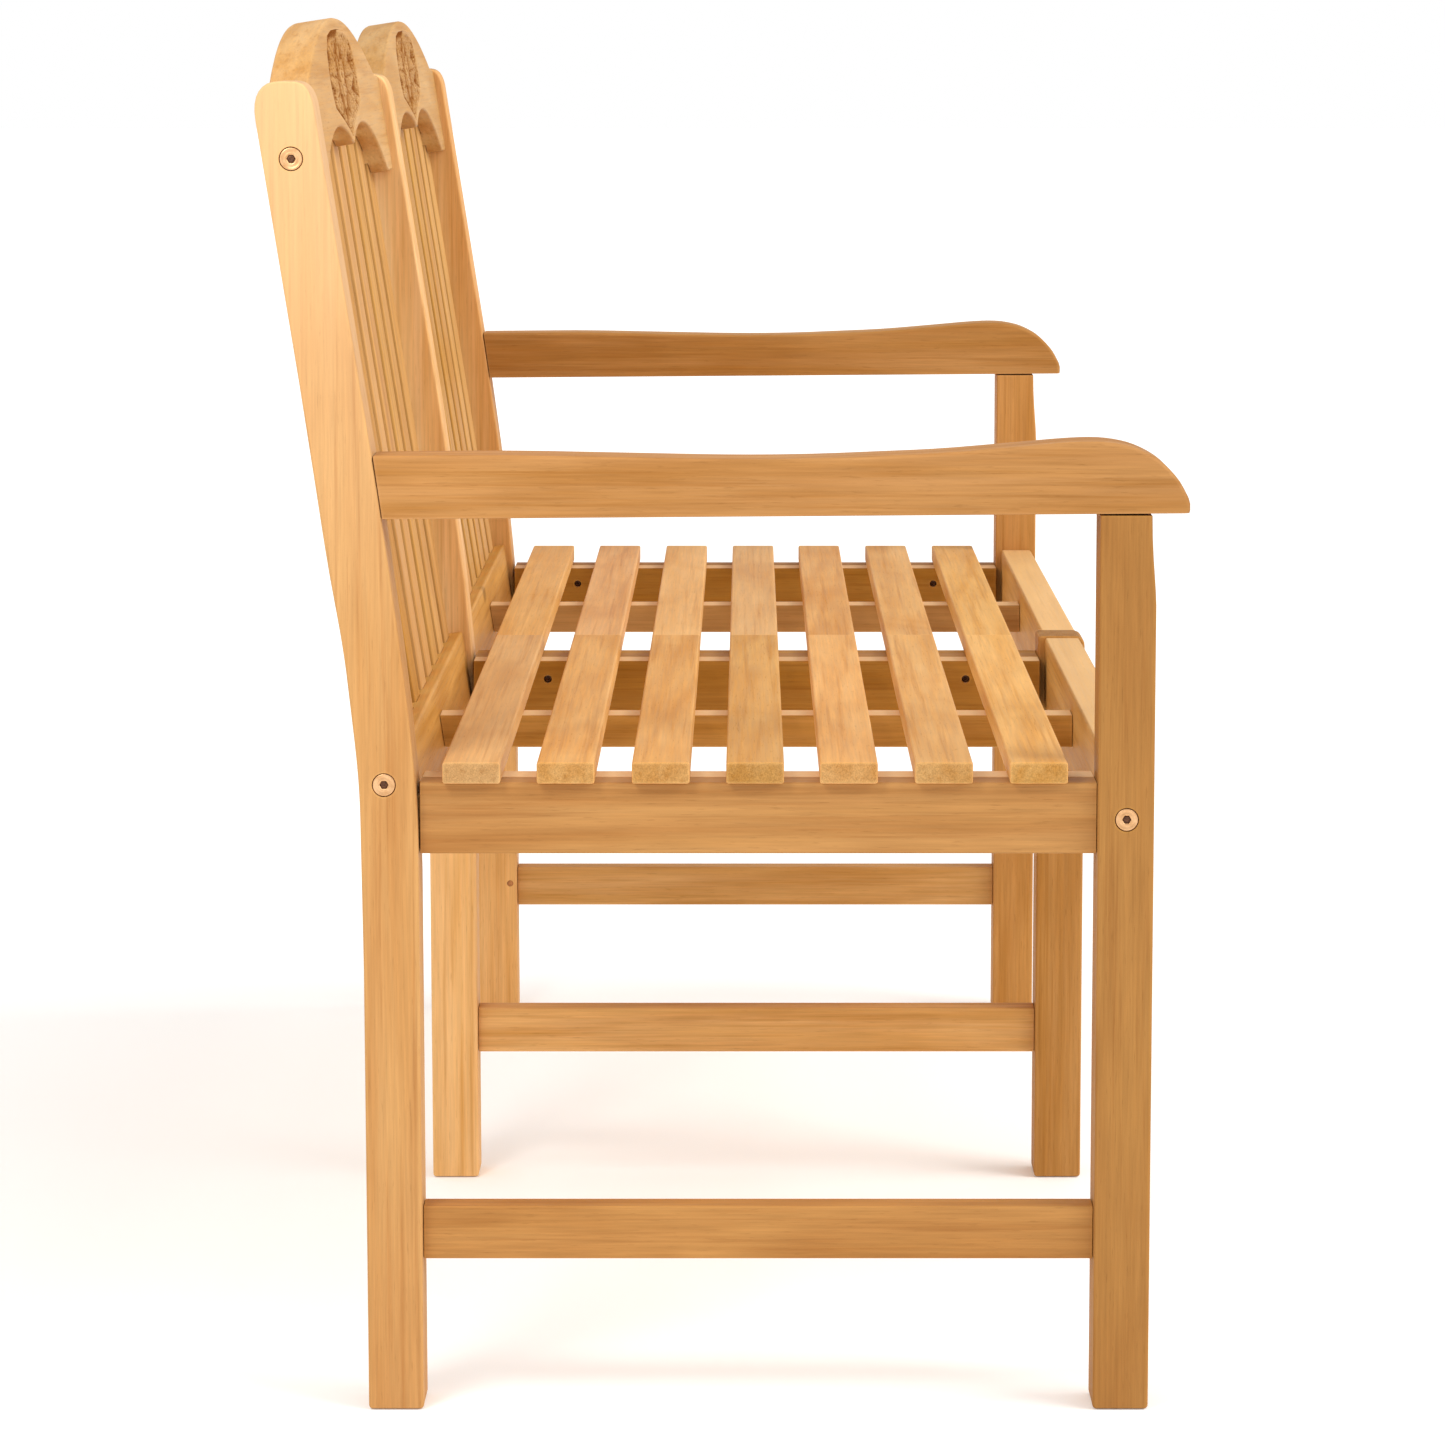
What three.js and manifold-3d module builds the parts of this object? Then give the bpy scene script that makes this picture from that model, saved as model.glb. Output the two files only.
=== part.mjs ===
// A two-seat slatted timber garden bench with arms, three leg frames and a carved crest rail on each half.
// Millimetres. +Z is up, +X runs along the bench, the seat faces -Y.
// The origin is on the floor, in the middle of the bench's bounding box.
import * as THREE from "three";
import { mergeVertices } from "three/addons/utils/BufferGeometryUtils.js";
import Module from "manifold-3d";

const wasm = await Module();
wasm.setup();

// overall sizes
const BENCH_LENGTH = 1200;
const LEG_THICKNESS = 36;
const END_FRAME_X = BENCH_LENGTH / 2 - LEG_THICKNESS / 2;
const BAY_WIDTH = END_FRAME_X - LEG_THICKNESS;
const BAY_CENTRE_X = END_FRAME_X / 2;

// fits; CENTRING_Y moves every piece so that the bounding box is centred on the origin
const GAP = 0.3;
const LEG_EDGE = 1.6;
const SLAT_END_EDGE = 1;
const CREST_EDGE = 2;
const EDGE_RADIUS = 1.6;
const SOFT_RADIUS = 2.2;
const TRIM = 3;
const TENON_LENGTH = 14;
const FRAME_TENON_LENGTH = 9;
const TENON_OVERLAP = 3;
const CUT_OVERSHOOT = 5;
const CENTRING_Y = -1.9;
const WELD_DISTANCE = 1e-3;

// rear legs
const REAR_LEG_FRONT_Y = 195.7;
const REAR_LEG_BACK_Y = 231.4;
const REAR_LEG_TOP_Z = 858;
const FOOT_RADIUS = 3;

// front legs
const FRONT_LEG_BACK_Y = -238.6;
const FRONT_LEG_FRONT_Y = -274.6;
const FRONT_LEG_HOLLOW = 3;
const FRONT_LEG_TOP_Z = 583.9;
const MIDDLE_LEG_TOP_Z = 427;

// seat
const SEAT_TOP_Z = 425.5;
const SLAT_WIDTH = 37;
const SLAT_THICKNESS = 14;
const SLAT_CENTRES_Y = [162, 101.7, 40.9, -19.4, -79.3, -140.1, -200.8];
const SLAT_UNDERSIDE_Z = SEAT_TOP_Z - SLAT_THICKNESS;
const BATTEN_TOP_Z = SLAT_UNDERSIDE_Z - GAP;
const END_BATTEN_THICKNESS = 24;
const END_BATTEN_HEIGHT = 40;
const MIDDLE_BATTEN_THICKNESS = 25;
const MIDDLE_BATTEN_HEIGHT = 23;
const BATTEN_BOLT_Z = 397;
const BATTEN_BOLT_DIAMETER = 6;
const BATTEN_BOLT_DEPTH = 9;
const BATTEN_BOLTS_Y = [138.5, -181.6];

// frame rails
const SEAT_RAIL_THICKNESS = 22;
const SEAT_RAIL_BOTTOM_Z = 365;
const SEAT_RAIL_HEIGHT = BATTEN_TOP_Z - SEAT_RAIL_BOTTOM_Z;
const STRETCHER_THICKNESS = 20;
const STRETCHER_BOTTOM_Z = 98;
const STRETCHER_HEIGHT = 35;
const APRON_THICKNESS = 27;
const APRON_BACK_Y = -243.6;
const APRON_BOTTOM_Z = 365;
const APRON_TOP_Z = 425.5;
const LOWER_RAIL_SETBACK = 11.3;
const LOWER_RAIL_THICKNESS = 26;
const LOWER_RAIL_BOTTOM_Z = 378;
const LOWER_RAIL_TOP_Z = 432.4;

// armrests
const ARM_UNDERSIDE_REAR_Z = 581.6;
const ARM_UNDERSIDE_FRONT_Z = 585.2;
const ARM_REAR_LOW_Y = 217.3;
const ARM_REAR_HIGH_Y = 222.9;
const ARM_REAR_TOP_Z = 621.6;
const ARM_NOSE_Y = -296;
const ARM_EDGE = 2.6;

// back
const RECLINE_SLOPE = 0.1543;
const RECLINE_ANGLE = Math.atan(RECLINE_SLOPE);
const BACK_PIVOT_Z = 430;
const POST_LINE_Y = 193.97;
const CREST_SETBACK = 6.5;
const CREST_THICKNESS = 27;
const CREST_TOP_Z = 900;
const CREST_TOP_RADIUS = 740;
const CREST_END_TOP_Z = 858;
const CREST_END_BOTTOM_Z = 786.5;
const ARCH_TOP_Z = 826;
const ARCH_OFFSET_X = 85;
const ARCH_INNER_RADIUS = 274;
const ARCH_OUTER_RADIUS = 310;
const BACK_SLAT_SETBACK = 20.5;
const BACK_SLAT_THICKNESS = 9;
const BACK_SLAT_WIDTH = 37;
const BACK_SLAT_PITCH = 60;
const BACK_SLATS_PER_BAY = 9;
const BACK_SLAT_TENON = 10;

// sunk shield on each crest rail that holds the carved relief
const CARVING_DEPTH = 4;
const SHIELD_OUTLINE = [
  [0, 892], [45, 891], [78, 887], [96, 876], [104, 862], [103, 848], [94, 838.5], [50, 830], [20, 823], [0, 817.5],
];

// connector bolt seats in the outer legs
const BOLT_SEAT_DIAMETER = 15.4;
const BOLT_SEAT_DEPTH = 3;
const BOLT_HOLE_DIAMETER = 7;
const BOLT_HOLE_DEPTH = 60;
const BOLT_SEGMENTS = 24;
const CREST_BOLT = { y: 272.3, z: 809.3 };
const LOWER_RAIL_BOLT = { y: 217.8, z: 410.7 };
const APRON_BOLT = { y: -257.1, z: 388.2 };

const WOOD = new THREE.MeshStandardMaterial({ name: "wood", color: 0xc98d4e, roughness: 0.6 });

// ---- solids -------------------------------------------------------------------------------------

function solidOf(geometry) {
  const plain = geometry.index ? geometry.toNonIndexed() : geometry.clone();
  plain.deleteAttribute("normal");
  plain.deleteAttribute("uv");
  const merged = mergeVertices(plain, WELD_DISTANCE);
  const corners = Array.from(merged.index.array);
  const kept = [];
  for (let i = 0; i < corners.length; i += 3) {
    const [a, b, c] = corners.slice(i, i + 3);
    if (a !== b && b !== c && c !== a) {
      kept.push(a, b, c);
    }
  }
  const mesh = new wasm.Mesh({
    numProp: 3,
    vertProperties: new Float32Array(merged.attributes.position.array),
    triVerts: Uint32Array.from(kept),
  });
  return new wasm.Manifold(mesh);
}

function meshOf(name, solid) {
  const raw = solid.translate([0, CENTRING_Y, 0]).getMesh();
  const geometry = new THREE.BufferGeometry();
  geometry.setAttribute("position", new THREE.BufferAttribute(Float32Array.from(raw.vertProperties), 3));
  geometry.setIndex(new THREE.BufferAttribute(Uint32Array.from(raw.triVerts), 1));
  geometry.computeVertexNormals();
  const mesh = new THREE.Mesh(geometry, WOOD);
  mesh.name = name;
  return mesh;
}

function block(x0, x1, y0, y1, z0, z1) {
  const geometry = new THREE.BoxGeometry(x1 - x0, y1 - y0, z1 - z0);
  geometry.translate((x0 + x1) / 2, (y0 + y1) / 2, (z0 + z1) / 2);
  return solidOf(geometry);
}

// a round pin along X
function pin(x0, x1, y, z, diameter) {
  const geometry = new THREE.CylinderGeometry(diameter / 2, diameter / 2, x1 - x0, BOLT_SEGMENTS);
  geometry.rotateZ(Math.PI / 2);
  geometry.translate((x0 + x1) / 2, y, z);
  return solidOf(geometry);
}

// turns a solid built upright about the X axis through (y, z), so its top leans back
function reclined(solid, y, z) {
  const degrees = -THREE.MathUtils.radToDeg(RECLINE_ANGLE);
  return solid.translate([0, -y, -z]).rotate([degrees, 0, 0]).translate([0, y, z]);
}

function roundedRectangle(width, height, radius) {
  const shape = new THREE.Shape();
  const w = width / 2;
  const h = height / 2;
  shape.moveTo(-w + radius, -h);
  shape.lineTo(w - radius, -h);
  shape.absarc(w - radius, -h + radius, radius, -Math.PI / 2, 0, false);
  shape.lineTo(w, h - radius);
  shape.absarc(w - radius, h - radius, radius, 0, Math.PI / 2, false);
  shape.lineTo(-w + radius, h);
  shape.absarc(-w + radius, h - radius, radius, Math.PI / 2, Math.PI, false);
  shape.lineTo(-w, -h + radius);
  shape.absarc(-w + radius, -h + radius, radius, Math.PI, Math.PI * 1.5, false);
  return shape;
}

// an outline given thickness along Z, with its end edges rounded by edge, or left square where edge is 0
function extruded(shape, length, edge, curveSegments, edgeSteps = 1) {
  if (edge === 0) {
    return new THREE.ExtrudeGeometry(shape, { depth: length, bevelEnabled: false, curveSegments });
  }
  return new THREE.ExtrudeGeometry(shape, {
    depth: length - 2 * edge,
    bevelEnabled: true,
    bevelThickness: edge,
    bevelSize: edge,
    bevelOffset: -edge,
    bevelSegments: edgeSteps,
    curveSegments,
  }).translate(0, 0, edge);
}

// a bar between two corners with softened long edges; axis is the direction of its grain
function bar(axis, low, high, radius = EDGE_RADIUS, endEdge = 0) {
  const size = high.clone().sub(low);
  const centre = high.clone().add(low).multiplyScalar(0.5);
  let geometry;
  if (axis === "x") {
    geometry = extruded(roundedRectangle(size.y, size.z, radius), size.x, endEdge, 2);
    geometry.translate(0, 0, -size.x / 2);
    geometry.applyMatrix4(new THREE.Matrix4().makeBasis(
      new THREE.Vector3(0, 1, 0), new THREE.Vector3(0, 0, 1), new THREE.Vector3(1, 0, 0)));
  } else if (axis === "y") {
    geometry = extruded(roundedRectangle(size.z, size.x, radius), size.y, endEdge, 2);
    geometry.translate(0, 0, -size.y / 2);
    geometry.applyMatrix4(new THREE.Matrix4().makeBasis(
      new THREE.Vector3(0, 0, 1), new THREE.Vector3(1, 0, 0), new THREE.Vector3(0, 1, 0)));
  } else {
    geometry = extruded(roundedRectangle(size.x, size.y, radius), size.z, endEdge, 2);
    geometry.translate(0, 0, -size.z / 2);
  }
  geometry.translate(centre.x, centre.y, centre.z);
  return solidOf(geometry);
}

// a side profile (y, z) given thickness along X
function sideBoard(shape, centreX, thickness, edge, curveSegments) {
  const geometry = extruded(shape, thickness, edge, curveSegments, 2);
  geometry.translate(0, 0, -thickness / 2);
  geometry.applyMatrix4(new THREE.Matrix4().makeBasis(
    new THREE.Vector3(0, 1, 0), new THREE.Vector3(0, 0, 1), new THREE.Vector3(1, 0, 0)));
  geometry.translate(centreX, 0, 0);
  return solidOf(geometry);
}

function grown(box, by) {
  return { x0: box.x0 - by, x1: box.x1 + by, y0: box.y0 - by, y1: box.y1 + by, z0: box.z0 - by, z1: box.z1 + by };
}

function blockOf(box) {
  return block(box.x0, box.x1, box.y0, box.y1, box.z0, box.z1);
}

// ---- tenons: each is a box that grows into the neighbouring part -------------------------------

// side = -1 for the end towards -X, +1 for the end towards +X
function endTenonX(x, side, y0, y1, z0, z1) {
  const root = x - side * TENON_OVERLAP;
  const tip = x + side * TENON_LENGTH;
  return { x0: Math.min(root, tip), x1: Math.max(root, tip), y0, y1, z0, z1 };
}

function endTenonY(y, side, x0, x1, z0, z1) {
  const root = y - side * TENON_OVERLAP;
  const tip = y + side * FRAME_TENON_LENGTH;
  return { y0: Math.min(root, tip), y1: Math.max(root, tip), x0, x1, z0, z1 };
}

const APRON_TENON = { y0: -264.1, y1: -250.1, z0: 372, z1: 416 };
const LOWER_RAIL_TENON = { y0: 19, y1: 32, z0: 386, z1: 424 };
const SEAT_RAIL_TENON_HALF = 5;
const SEAT_RAIL_TENON = { z0: 374, z1: 402 };
const STRETCHER_TENON = { z0: 104, z1: 127 };
const CREST_TENON = { z0: 797, z1: 833, y0: 7, y1: 20 };
const ARM_TENON_HALF = 8;
const ARM_DOWEL = { z0: 594, z1: 610, length: 10 };
const LEG_TOP_TENON = { y0: -265, y1: -248, height: 14 };

function apronTenons(bayX) {
  return [-1, 1].map((side) =>
    endTenonX(bayX + side * (BAY_WIDTH / 2 - GAP), side,
      APRON_TENON.y0, APRON_TENON.y1, APRON_TENON.z0, APRON_TENON.z1));
}

// the tenons of the back's rails are boxes in its upright position; the same recline turns them into place
function backTenons(bayX, tenon) {
  return [-1, 1].map((side) =>
    endTenonX(bayX + side * (BAY_WIDTH / 2 - GAP), side,
      POST_LINE_Y + tenon.y0, POST_LINE_Y + tenon.y1, uprightZ(tenon.z0), uprightZ(tenon.z1)));
}

// frame rails run front to back; their tenons enter the front and rear legs
function frameRailTenons(frameX, z0, z1) {
  return [
    endTenonY(REAR_LEG_FRONT_Y - GAP, 1, frameX - SEAT_RAIL_TENON_HALF, frameX + SEAT_RAIL_TENON_HALF, z0, z1),
    endTenonY(FRONT_LEG_BACK_Y + GAP, -1, frameX - SEAT_RAIL_TENON_HALF, frameX + SEAT_RAIL_TENON_HALF, z0, z1),
  ];
}

function cutAll(solid, boxes, turn = (s) => s) {
  let result = solid;
  for (const box of boxes) {
    result = result.subtract(turn(blockOf(grown(box, GAP))));
  }
  return result;
}

function joinAll(solid, boxes) {
  let result = solid;
  for (const box of boxes) {
    result = result.add(blockOf(box));
  }
  return result;
}

// the height along the upright (unturned) back that lands at height z on the reclined front line
function uprightZ(z) {
  return BACK_PIVOT_Z + (z - BACK_PIVOT_Z) / Math.cos(RECLINE_ANGLE);
}

function leanBack(solid) {
  return reclined(solid, POST_LINE_Y, BACK_PIVOT_Z);
}

// ---- legs ---------------------------------------------------------------------------------------

function rearLegProfile() {
  const shape = new THREE.Shape();
  shape.moveTo(REAR_LEG_FRONT_Y + FOOT_RADIUS, 0);
  shape.lineTo(REAR_LEG_BACK_Y - FOOT_RADIUS, 0);
  shape.quadraticCurveTo(REAR_LEG_BACK_Y, 0, REAR_LEG_BACK_Y, FOOT_RADIUS);
  shape.lineTo(231.9, 290);
  shape.splineThru([
    [232.8, 360], [234, 411], [238.9, 462.8], [243.6, 501.4], [252.2, 552.8], [260.2, 608], [269, 668.5],
  ].map(([y, z]) => new THREE.Vector2(y, z)));
  shape.lineTo(294.4, 833);
  shape.bezierCurveTo(297, 849, 291, 858, 279, REAR_LEG_TOP_Z);
  shape.lineTo(272, REAR_LEG_TOP_Z);
  shape.bezierCurveTo(263, 858, 260.2, 853, 257.9, 844);
  shape.lineTo(230.7, 668);
  shape.splineThru([
    [224, 625], [217.6, 581], [206.6, 498], [200.2, 440], [197, 398.5], [196, 350],
  ].map(([y, z]) => new THREE.Vector2(y, z)));
  shape.lineTo(REAR_LEG_FRONT_Y, FOOT_RADIUS);
  shape.quadraticCurveTo(REAR_LEG_FRONT_Y, 0, REAR_LEG_FRONT_Y + FOOT_RADIUS, 0);
  return shape;
}

// bays whose rails enter the frame at frameX
function neighbouringBays(frameX) {
  return [-BAY_CENTRE_X, BAY_CENTRE_X].filter((bayX) => Math.abs(bayX - frameX) < BAY_WIDTH);
}

function boltSeat(frameX, bolt) {
  const side = Math.sign(frameX);
  const face = frameX + side * LEG_THICKNESS / 2;
  const seat = [face - side * BOLT_SEAT_DEPTH, face + side * CUT_OVERSHOOT].sort((a, b) => a - b);
  const hole = [face - side * BOLT_HOLE_DEPTH, face + side * CUT_OVERSHOOT].sort((a, b) => a - b);
  return pin(seat[0], seat[1], bolt.y, bolt.z, BOLT_SEAT_DIAMETER)
    .add(pin(hole[0], hole[1], bolt.y, bolt.z, BOLT_HOLE_DIAMETER));
}

function rearLeg(name, frameX) {
  let leg = sideBoard(rearLegProfile(), frameX, LEG_THICKNESS, LEG_EDGE, 8);
  for (const bayX of neighbouringBays(frameX)) {
    leg = cutAll(leg, backTenons(bayX, LOWER_RAIL_TENON), leanBack);
    leg = cutAll(leg, backTenons(bayX, CREST_TENON), leanBack);
  }
  leg = cutAll(leg, frameRailTenons(frameX, SEAT_RAIL_TENON.z0, SEAT_RAIL_TENON.z1));
  leg = cutAll(leg, frameRailTenons(frameX, STRETCHER_TENON.z0, STRETCHER_TENON.z1));
  if (frameX !== 0) {
    leg = cutAll(leg, [armDowel(frameX)]);
    leg = leg.subtract(boltSeat(frameX, CREST_BOLT));
    leg = leg.subtract(boltSeat(frameX, LOWER_RAIL_BOLT));
  }
  return meshOf(name, leg);
}

function frontLegProfile(topZ, hollow) {
  const shape = new THREE.Shape();
  const front = FRONT_LEG_FRONT_Y;
  const back = FRONT_LEG_BACK_Y;
  shape.moveTo(front + FOOT_RADIUS, 0);
  shape.lineTo(back - FOOT_RADIUS, 0);
  shape.quadraticCurveTo(back, 0, back, FOOT_RADIUS);
  if (hollow > 0) {
    shape.lineTo(back, topZ + TRIM);
    shape.lineTo(front + hollow, topZ + TRIM);
    shape.lineTo(front + hollow, topZ);
    shape.bezierCurveTo(front + hollow, topZ - 25, front + 0.4, topZ - 42, front, topZ - 58);
  } else {
    shape.lineTo(back, topZ - FOOT_RADIUS);
    shape.quadraticCurveTo(back, topZ, back - FOOT_RADIUS, topZ);
    shape.lineTo(front + 8, topZ);
    shape.quadraticCurveTo(front, topZ, front, topZ - 8);
  }
  shape.lineTo(front, FOOT_RADIUS);
  shape.quadraticCurveTo(front, 0, front + FOOT_RADIUS, 0);
  return shape;
}

function legTopTenon(frameX) {
  return {
    x0: frameX - ARM_TENON_HALF,
    x1: frameX + ARM_TENON_HALF,
    y0: LEG_TOP_TENON.y0,
    y1: LEG_TOP_TENON.y1,
    z0: FRONT_LEG_TOP_Z - TENON_OVERLAP,
    z1: FRONT_LEG_TOP_Z + LEG_TOP_TENON.height,
  };
}

// the waste above a front leg's shoulder, which leaves a square top under the armrest
function aboveLegTop(frameX) {
  return {
    x0: frameX - LEG_THICKNESS,
    x1: frameX + LEG_THICKNESS,
    y0: FRONT_LEG_FRONT_Y - CUT_OVERSHOOT,
    y1: FRONT_LEG_BACK_Y + CUT_OVERSHOOT,
    z0: FRONT_LEG_TOP_Z,
    z1: FRONT_LEG_TOP_Z + 2 * TRIM,
  };
}

function frontLeg(name, frameX) {
  const isEnd = frameX !== 0;
  const profile = isEnd
    ? frontLegProfile(FRONT_LEG_TOP_Z, FRONT_LEG_HOLLOW)
    : frontLegProfile(MIDDLE_LEG_TOP_Z, 0);
  let leg = sideBoard(profile, frameX, LEG_THICKNESS, LEG_EDGE, 5);
  for (const bayX of neighbouringBays(frameX)) {
    leg = cutAll(leg, apronTenons(bayX));
  }
  leg = cutAll(leg, frameRailTenons(frameX, SEAT_RAIL_TENON.z0, SEAT_RAIL_TENON.z1));
  leg = cutAll(leg, frameRailTenons(frameX, STRETCHER_TENON.z0, STRETCHER_TENON.z1));
  if (isEnd) {
    leg = leg.subtract(blockOf(aboveLegTop(frameX)));
    leg = joinAll(leg, [legTopTenon(frameX)]);
    leg = leg.subtract(boltSeat(frameX, APRON_BOLT));
  }
  return meshOf(name, leg);
}

// ---- armrests -----------------------------------------------------------------------------------

function armProfile() {
  const shape = new THREE.Shape();
  shape.moveTo(ARM_REAR_LOW_Y + TRIM, ARM_UNDERSIDE_REAR_Z - TRIM);
  shape.lineTo(ARM_REAR_HIGH_Y + TRIM, ARM_REAR_TOP_Z);
  shape.splineThru([
    [135, 622.3], [47, 620.6], [-11, 619.8], [-55, 620.3], [-99, 621.9], [-138, 623.8], [-177, 627],
    [-216, 630.4], [-238, 631], [-254, 628.8], [-266, 624.6], [-277.5, 617.6], [-288, 606.5], [-294.4, 595],
  ].map(([y, z]) => new THREE.Vector2(y, z)));
  shape.bezierCurveTo(ARM_NOSE_Y, 591, ARM_NOSE_Y, 588, ARM_NOSE_Y + 1.5, ARM_UNDERSIDE_FRONT_Z - TRIM);
  return shape;
}

// the waste behind and below an armrest, which leaves square shoulders against the two legs
function armTrim(frameX) {
  const slope = (ARM_UNDERSIDE_REAR_Z - ARM_UNDERSIDE_FRONT_Z) / (ARM_REAR_LOW_Y - FRONT_LEG_FRONT_Y);
  const lean = (ARM_REAR_HIGH_Y - ARM_REAR_LOW_Y) / (ARM_REAR_TOP_Z - ARM_UNDERSIDE_REAR_Z);
  const reach = 60;
  const noseY = ARM_NOSE_Y - reach;
  const shape = new THREE.Shape([
    new THREE.Vector2(ARM_REAR_LOW_Y, ARM_UNDERSIDE_REAR_Z),
    new THREE.Vector2(noseY, ARM_UNDERSIDE_REAR_Z + slope * (noseY - ARM_REAR_LOW_Y)),
    new THREE.Vector2(noseY, ARM_UNDERSIDE_REAR_Z - reach),
    new THREE.Vector2(ARM_REAR_HIGH_Y + reach, ARM_UNDERSIDE_REAR_Z - reach),
    new THREE.Vector2(ARM_REAR_HIGH_Y + reach, ARM_REAR_TOP_Z + reach),
    new THREE.Vector2(ARM_REAR_HIGH_Y + lean * reach, ARM_REAR_TOP_Z + reach),
  ].reverse());
  return sideBoard(shape, frameX, 2 * LEG_THICKNESS, 0, 1);
}

function armDowel(frameX) {
  return {
    x0: frameX - ARM_TENON_HALF,
    x1: frameX + ARM_TENON_HALF,
    y0: 216,
    y1: 220 + ARM_DOWEL.length,
    z0: ARM_DOWEL.z0,
    z1: ARM_DOWEL.z1,
  };
}

function armrest(name, frameX) {
  let arm = sideBoard(armProfile(), frameX, LEG_THICKNESS, ARM_EDGE, 3);
  arm = arm.subtract(armTrim(frameX));
  arm = joinAll(arm, [armDowel(frameX)]);
  arm = cutAll(arm, [legTopTenon(frameX)]);
  return meshOf(name, arm);
}

// ---- rails --------------------------------------------------------------------------------------

function vector(x, y, z) {
  return new THREE.Vector3(x, y, z);
}

function frameRail(name, frameX, thickness, z0, height, tenonZ) {
  const low = vector(frameX - thickness / 2, FRONT_LEG_BACK_Y + GAP, z0);
  const high = vector(frameX + thickness / 2, REAR_LEG_FRONT_Y - GAP, z0 + height);
  const rail = joinAll(bar("y", low, high), frameRailTenons(frameX, tenonZ.z0, tenonZ.z1));
  return meshOf(name, rail);
}

function frontApron(name, bayX) {
  const half = BAY_WIDTH / 2 - GAP;
  const low = vector(bayX - half, APRON_BACK_Y - APRON_THICKNESS, APRON_BOTTOM_Z);
  const high = vector(bayX + half, APRON_BACK_Y, APRON_TOP_Z);
  let rail = joinAll(bar("x", low, high, SOFT_RADIUS), apronTenons(bayX));
  rail = rail.subtract(boltSeat(Math.sign(bayX) * END_FRAME_X, APRON_BOLT));
  return meshOf(name, rail);
}

// the upright box of a lower back rail; it leans back with the slats it carries
function lowerRailBox(bayX) {
  const half = BAY_WIDTH / 2 - GAP;
  const y0 = POST_LINE_Y + LOWER_RAIL_SETBACK;
  return {
    x0: bayX - half,
    x1: bayX + half,
    y0,
    y1: y0 + LOWER_RAIL_THICKNESS,
    z0: uprightZ(LOWER_RAIL_BOTTOM_Z),
    z1: uprightZ(LOWER_RAIL_TOP_Z),
  };
}

function lowerBackRail(name, bayX) {
  const box = lowerRailBox(bayX);
  const upright = bar("x", vector(box.x0, box.y0, box.z0), vector(box.x1, box.y1, box.z1), SOFT_RADIUS);
  let rail = joinAll(upright, backTenons(bayX, LOWER_RAIL_TENON));
  rail = leanBack(cutAll(rail, backSlatCentres(bayX).map(backSlatBox)));
  rail = rail.subtract(boltSeat(Math.sign(bayX) * END_FRAME_X, LOWER_RAIL_BOLT));
  return meshOf(name, rail);
}

// ---- back ---------------------------------------------------------------------------------------

function backSlatCentres(bayX) {
  const first = bayX - BACK_SLAT_PITCH * (BACK_SLATS_PER_BAY - 1) / 2;
  return Array.from({ length: BACK_SLATS_PER_BAY }, (_, i) => first + i * BACK_SLAT_PITCH);
}

// height of the crest rail's lower edge above the floor, at a distance from the middle of its bay
function archZ(distance) {
  const d = Math.abs(distance);
  if (d < ARCH_OFFSET_X) {
    const across = ARCH_OFFSET_X - d;
    return ARCH_TOP_Z - ARCH_INNER_RADIUS + Math.sqrt(ARCH_INNER_RADIUS ** 2 - across ** 2);
  }
  const across = d - ARCH_OFFSET_X;
  const z = ARCH_TOP_Z - ARCH_OUTER_RADIUS + Math.sqrt(ARCH_OUTER_RADIUS ** 2 - across ** 2);
  return Math.max(CREST_END_BOTTOM_Z, z);
}

function backSlatTopZ(x) {
  const bayX = Math.sign(x) * BAY_CENTRE_X;
  const edges = [x - BACK_SLAT_WIDTH / 2, x, x + BACK_SLAT_WIDTH / 2].map((at) => archZ(at - bayX));
  return Math.max(...edges) + BACK_SLAT_TENON;
}

// upright box of one back slat, from inside the lower rail to inside the crest
function backSlatBox(x) {
  const y0 = POST_LINE_Y + BACK_SLAT_SETBACK;
  return {
    x0: x - BACK_SLAT_WIDTH / 2,
    x1: x + BACK_SLAT_WIDTH / 2,
    y0,
    y1: y0 + BACK_SLAT_THICKNESS,
    z0: uprightZ(LOWER_RAIL_TOP_Z - BACK_SLAT_TENON),
    z1: uprightZ(backSlatTopZ(x)),
  };
}

function backSlat(name, x) {
  const box = backSlatBox(x);
  const low = vector(box.x0, box.y0, box.z0);
  const high = vector(box.x1, box.y1, box.z1);
  return meshOf(name, leanBack(bar("z", low, high)));
}

function shieldShape() {
  const right = SHIELD_OUTLINE.map(([x, z]) => new THREE.Vector2(x, uprightZ(z)));
  const left = SHIELD_OUTLINE.slice(1, -1).reverse().map(([x, z]) => new THREE.Vector2(-x, uprightZ(z)));
  return new THREE.Shape(right.concat(left));
}

// height of the crest's upper edge above the floor: a bow that runs out level at the rear leg tops
function crestTopZ(distance) {
  const drop = CREST_TOP_RADIUS - Math.sqrt(CREST_TOP_RADIUS ** 2 - distance ** 2);
  return Math.max(CREST_END_TOP_Z, CREST_TOP_Z - drop);
}

// the crest's outline, longer at both ends by TRIM
function crestShape() {
  const half = BAY_WIDTH / 2 + TRIM;
  const steps = 40;
  const lower = [];
  const upper = [];
  for (let i = 0; i <= steps; i += 1) {
    const x = -half + (2 * half * i) / steps;
    lower.push(new THREE.Vector2(x, uprightZ(archZ(x))));
    upper.push(new THREE.Vector2(x, uprightZ(crestTopZ(x))));
  }
  return new THREE.Shape(lower.concat(upper.reverse()));
}

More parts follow.
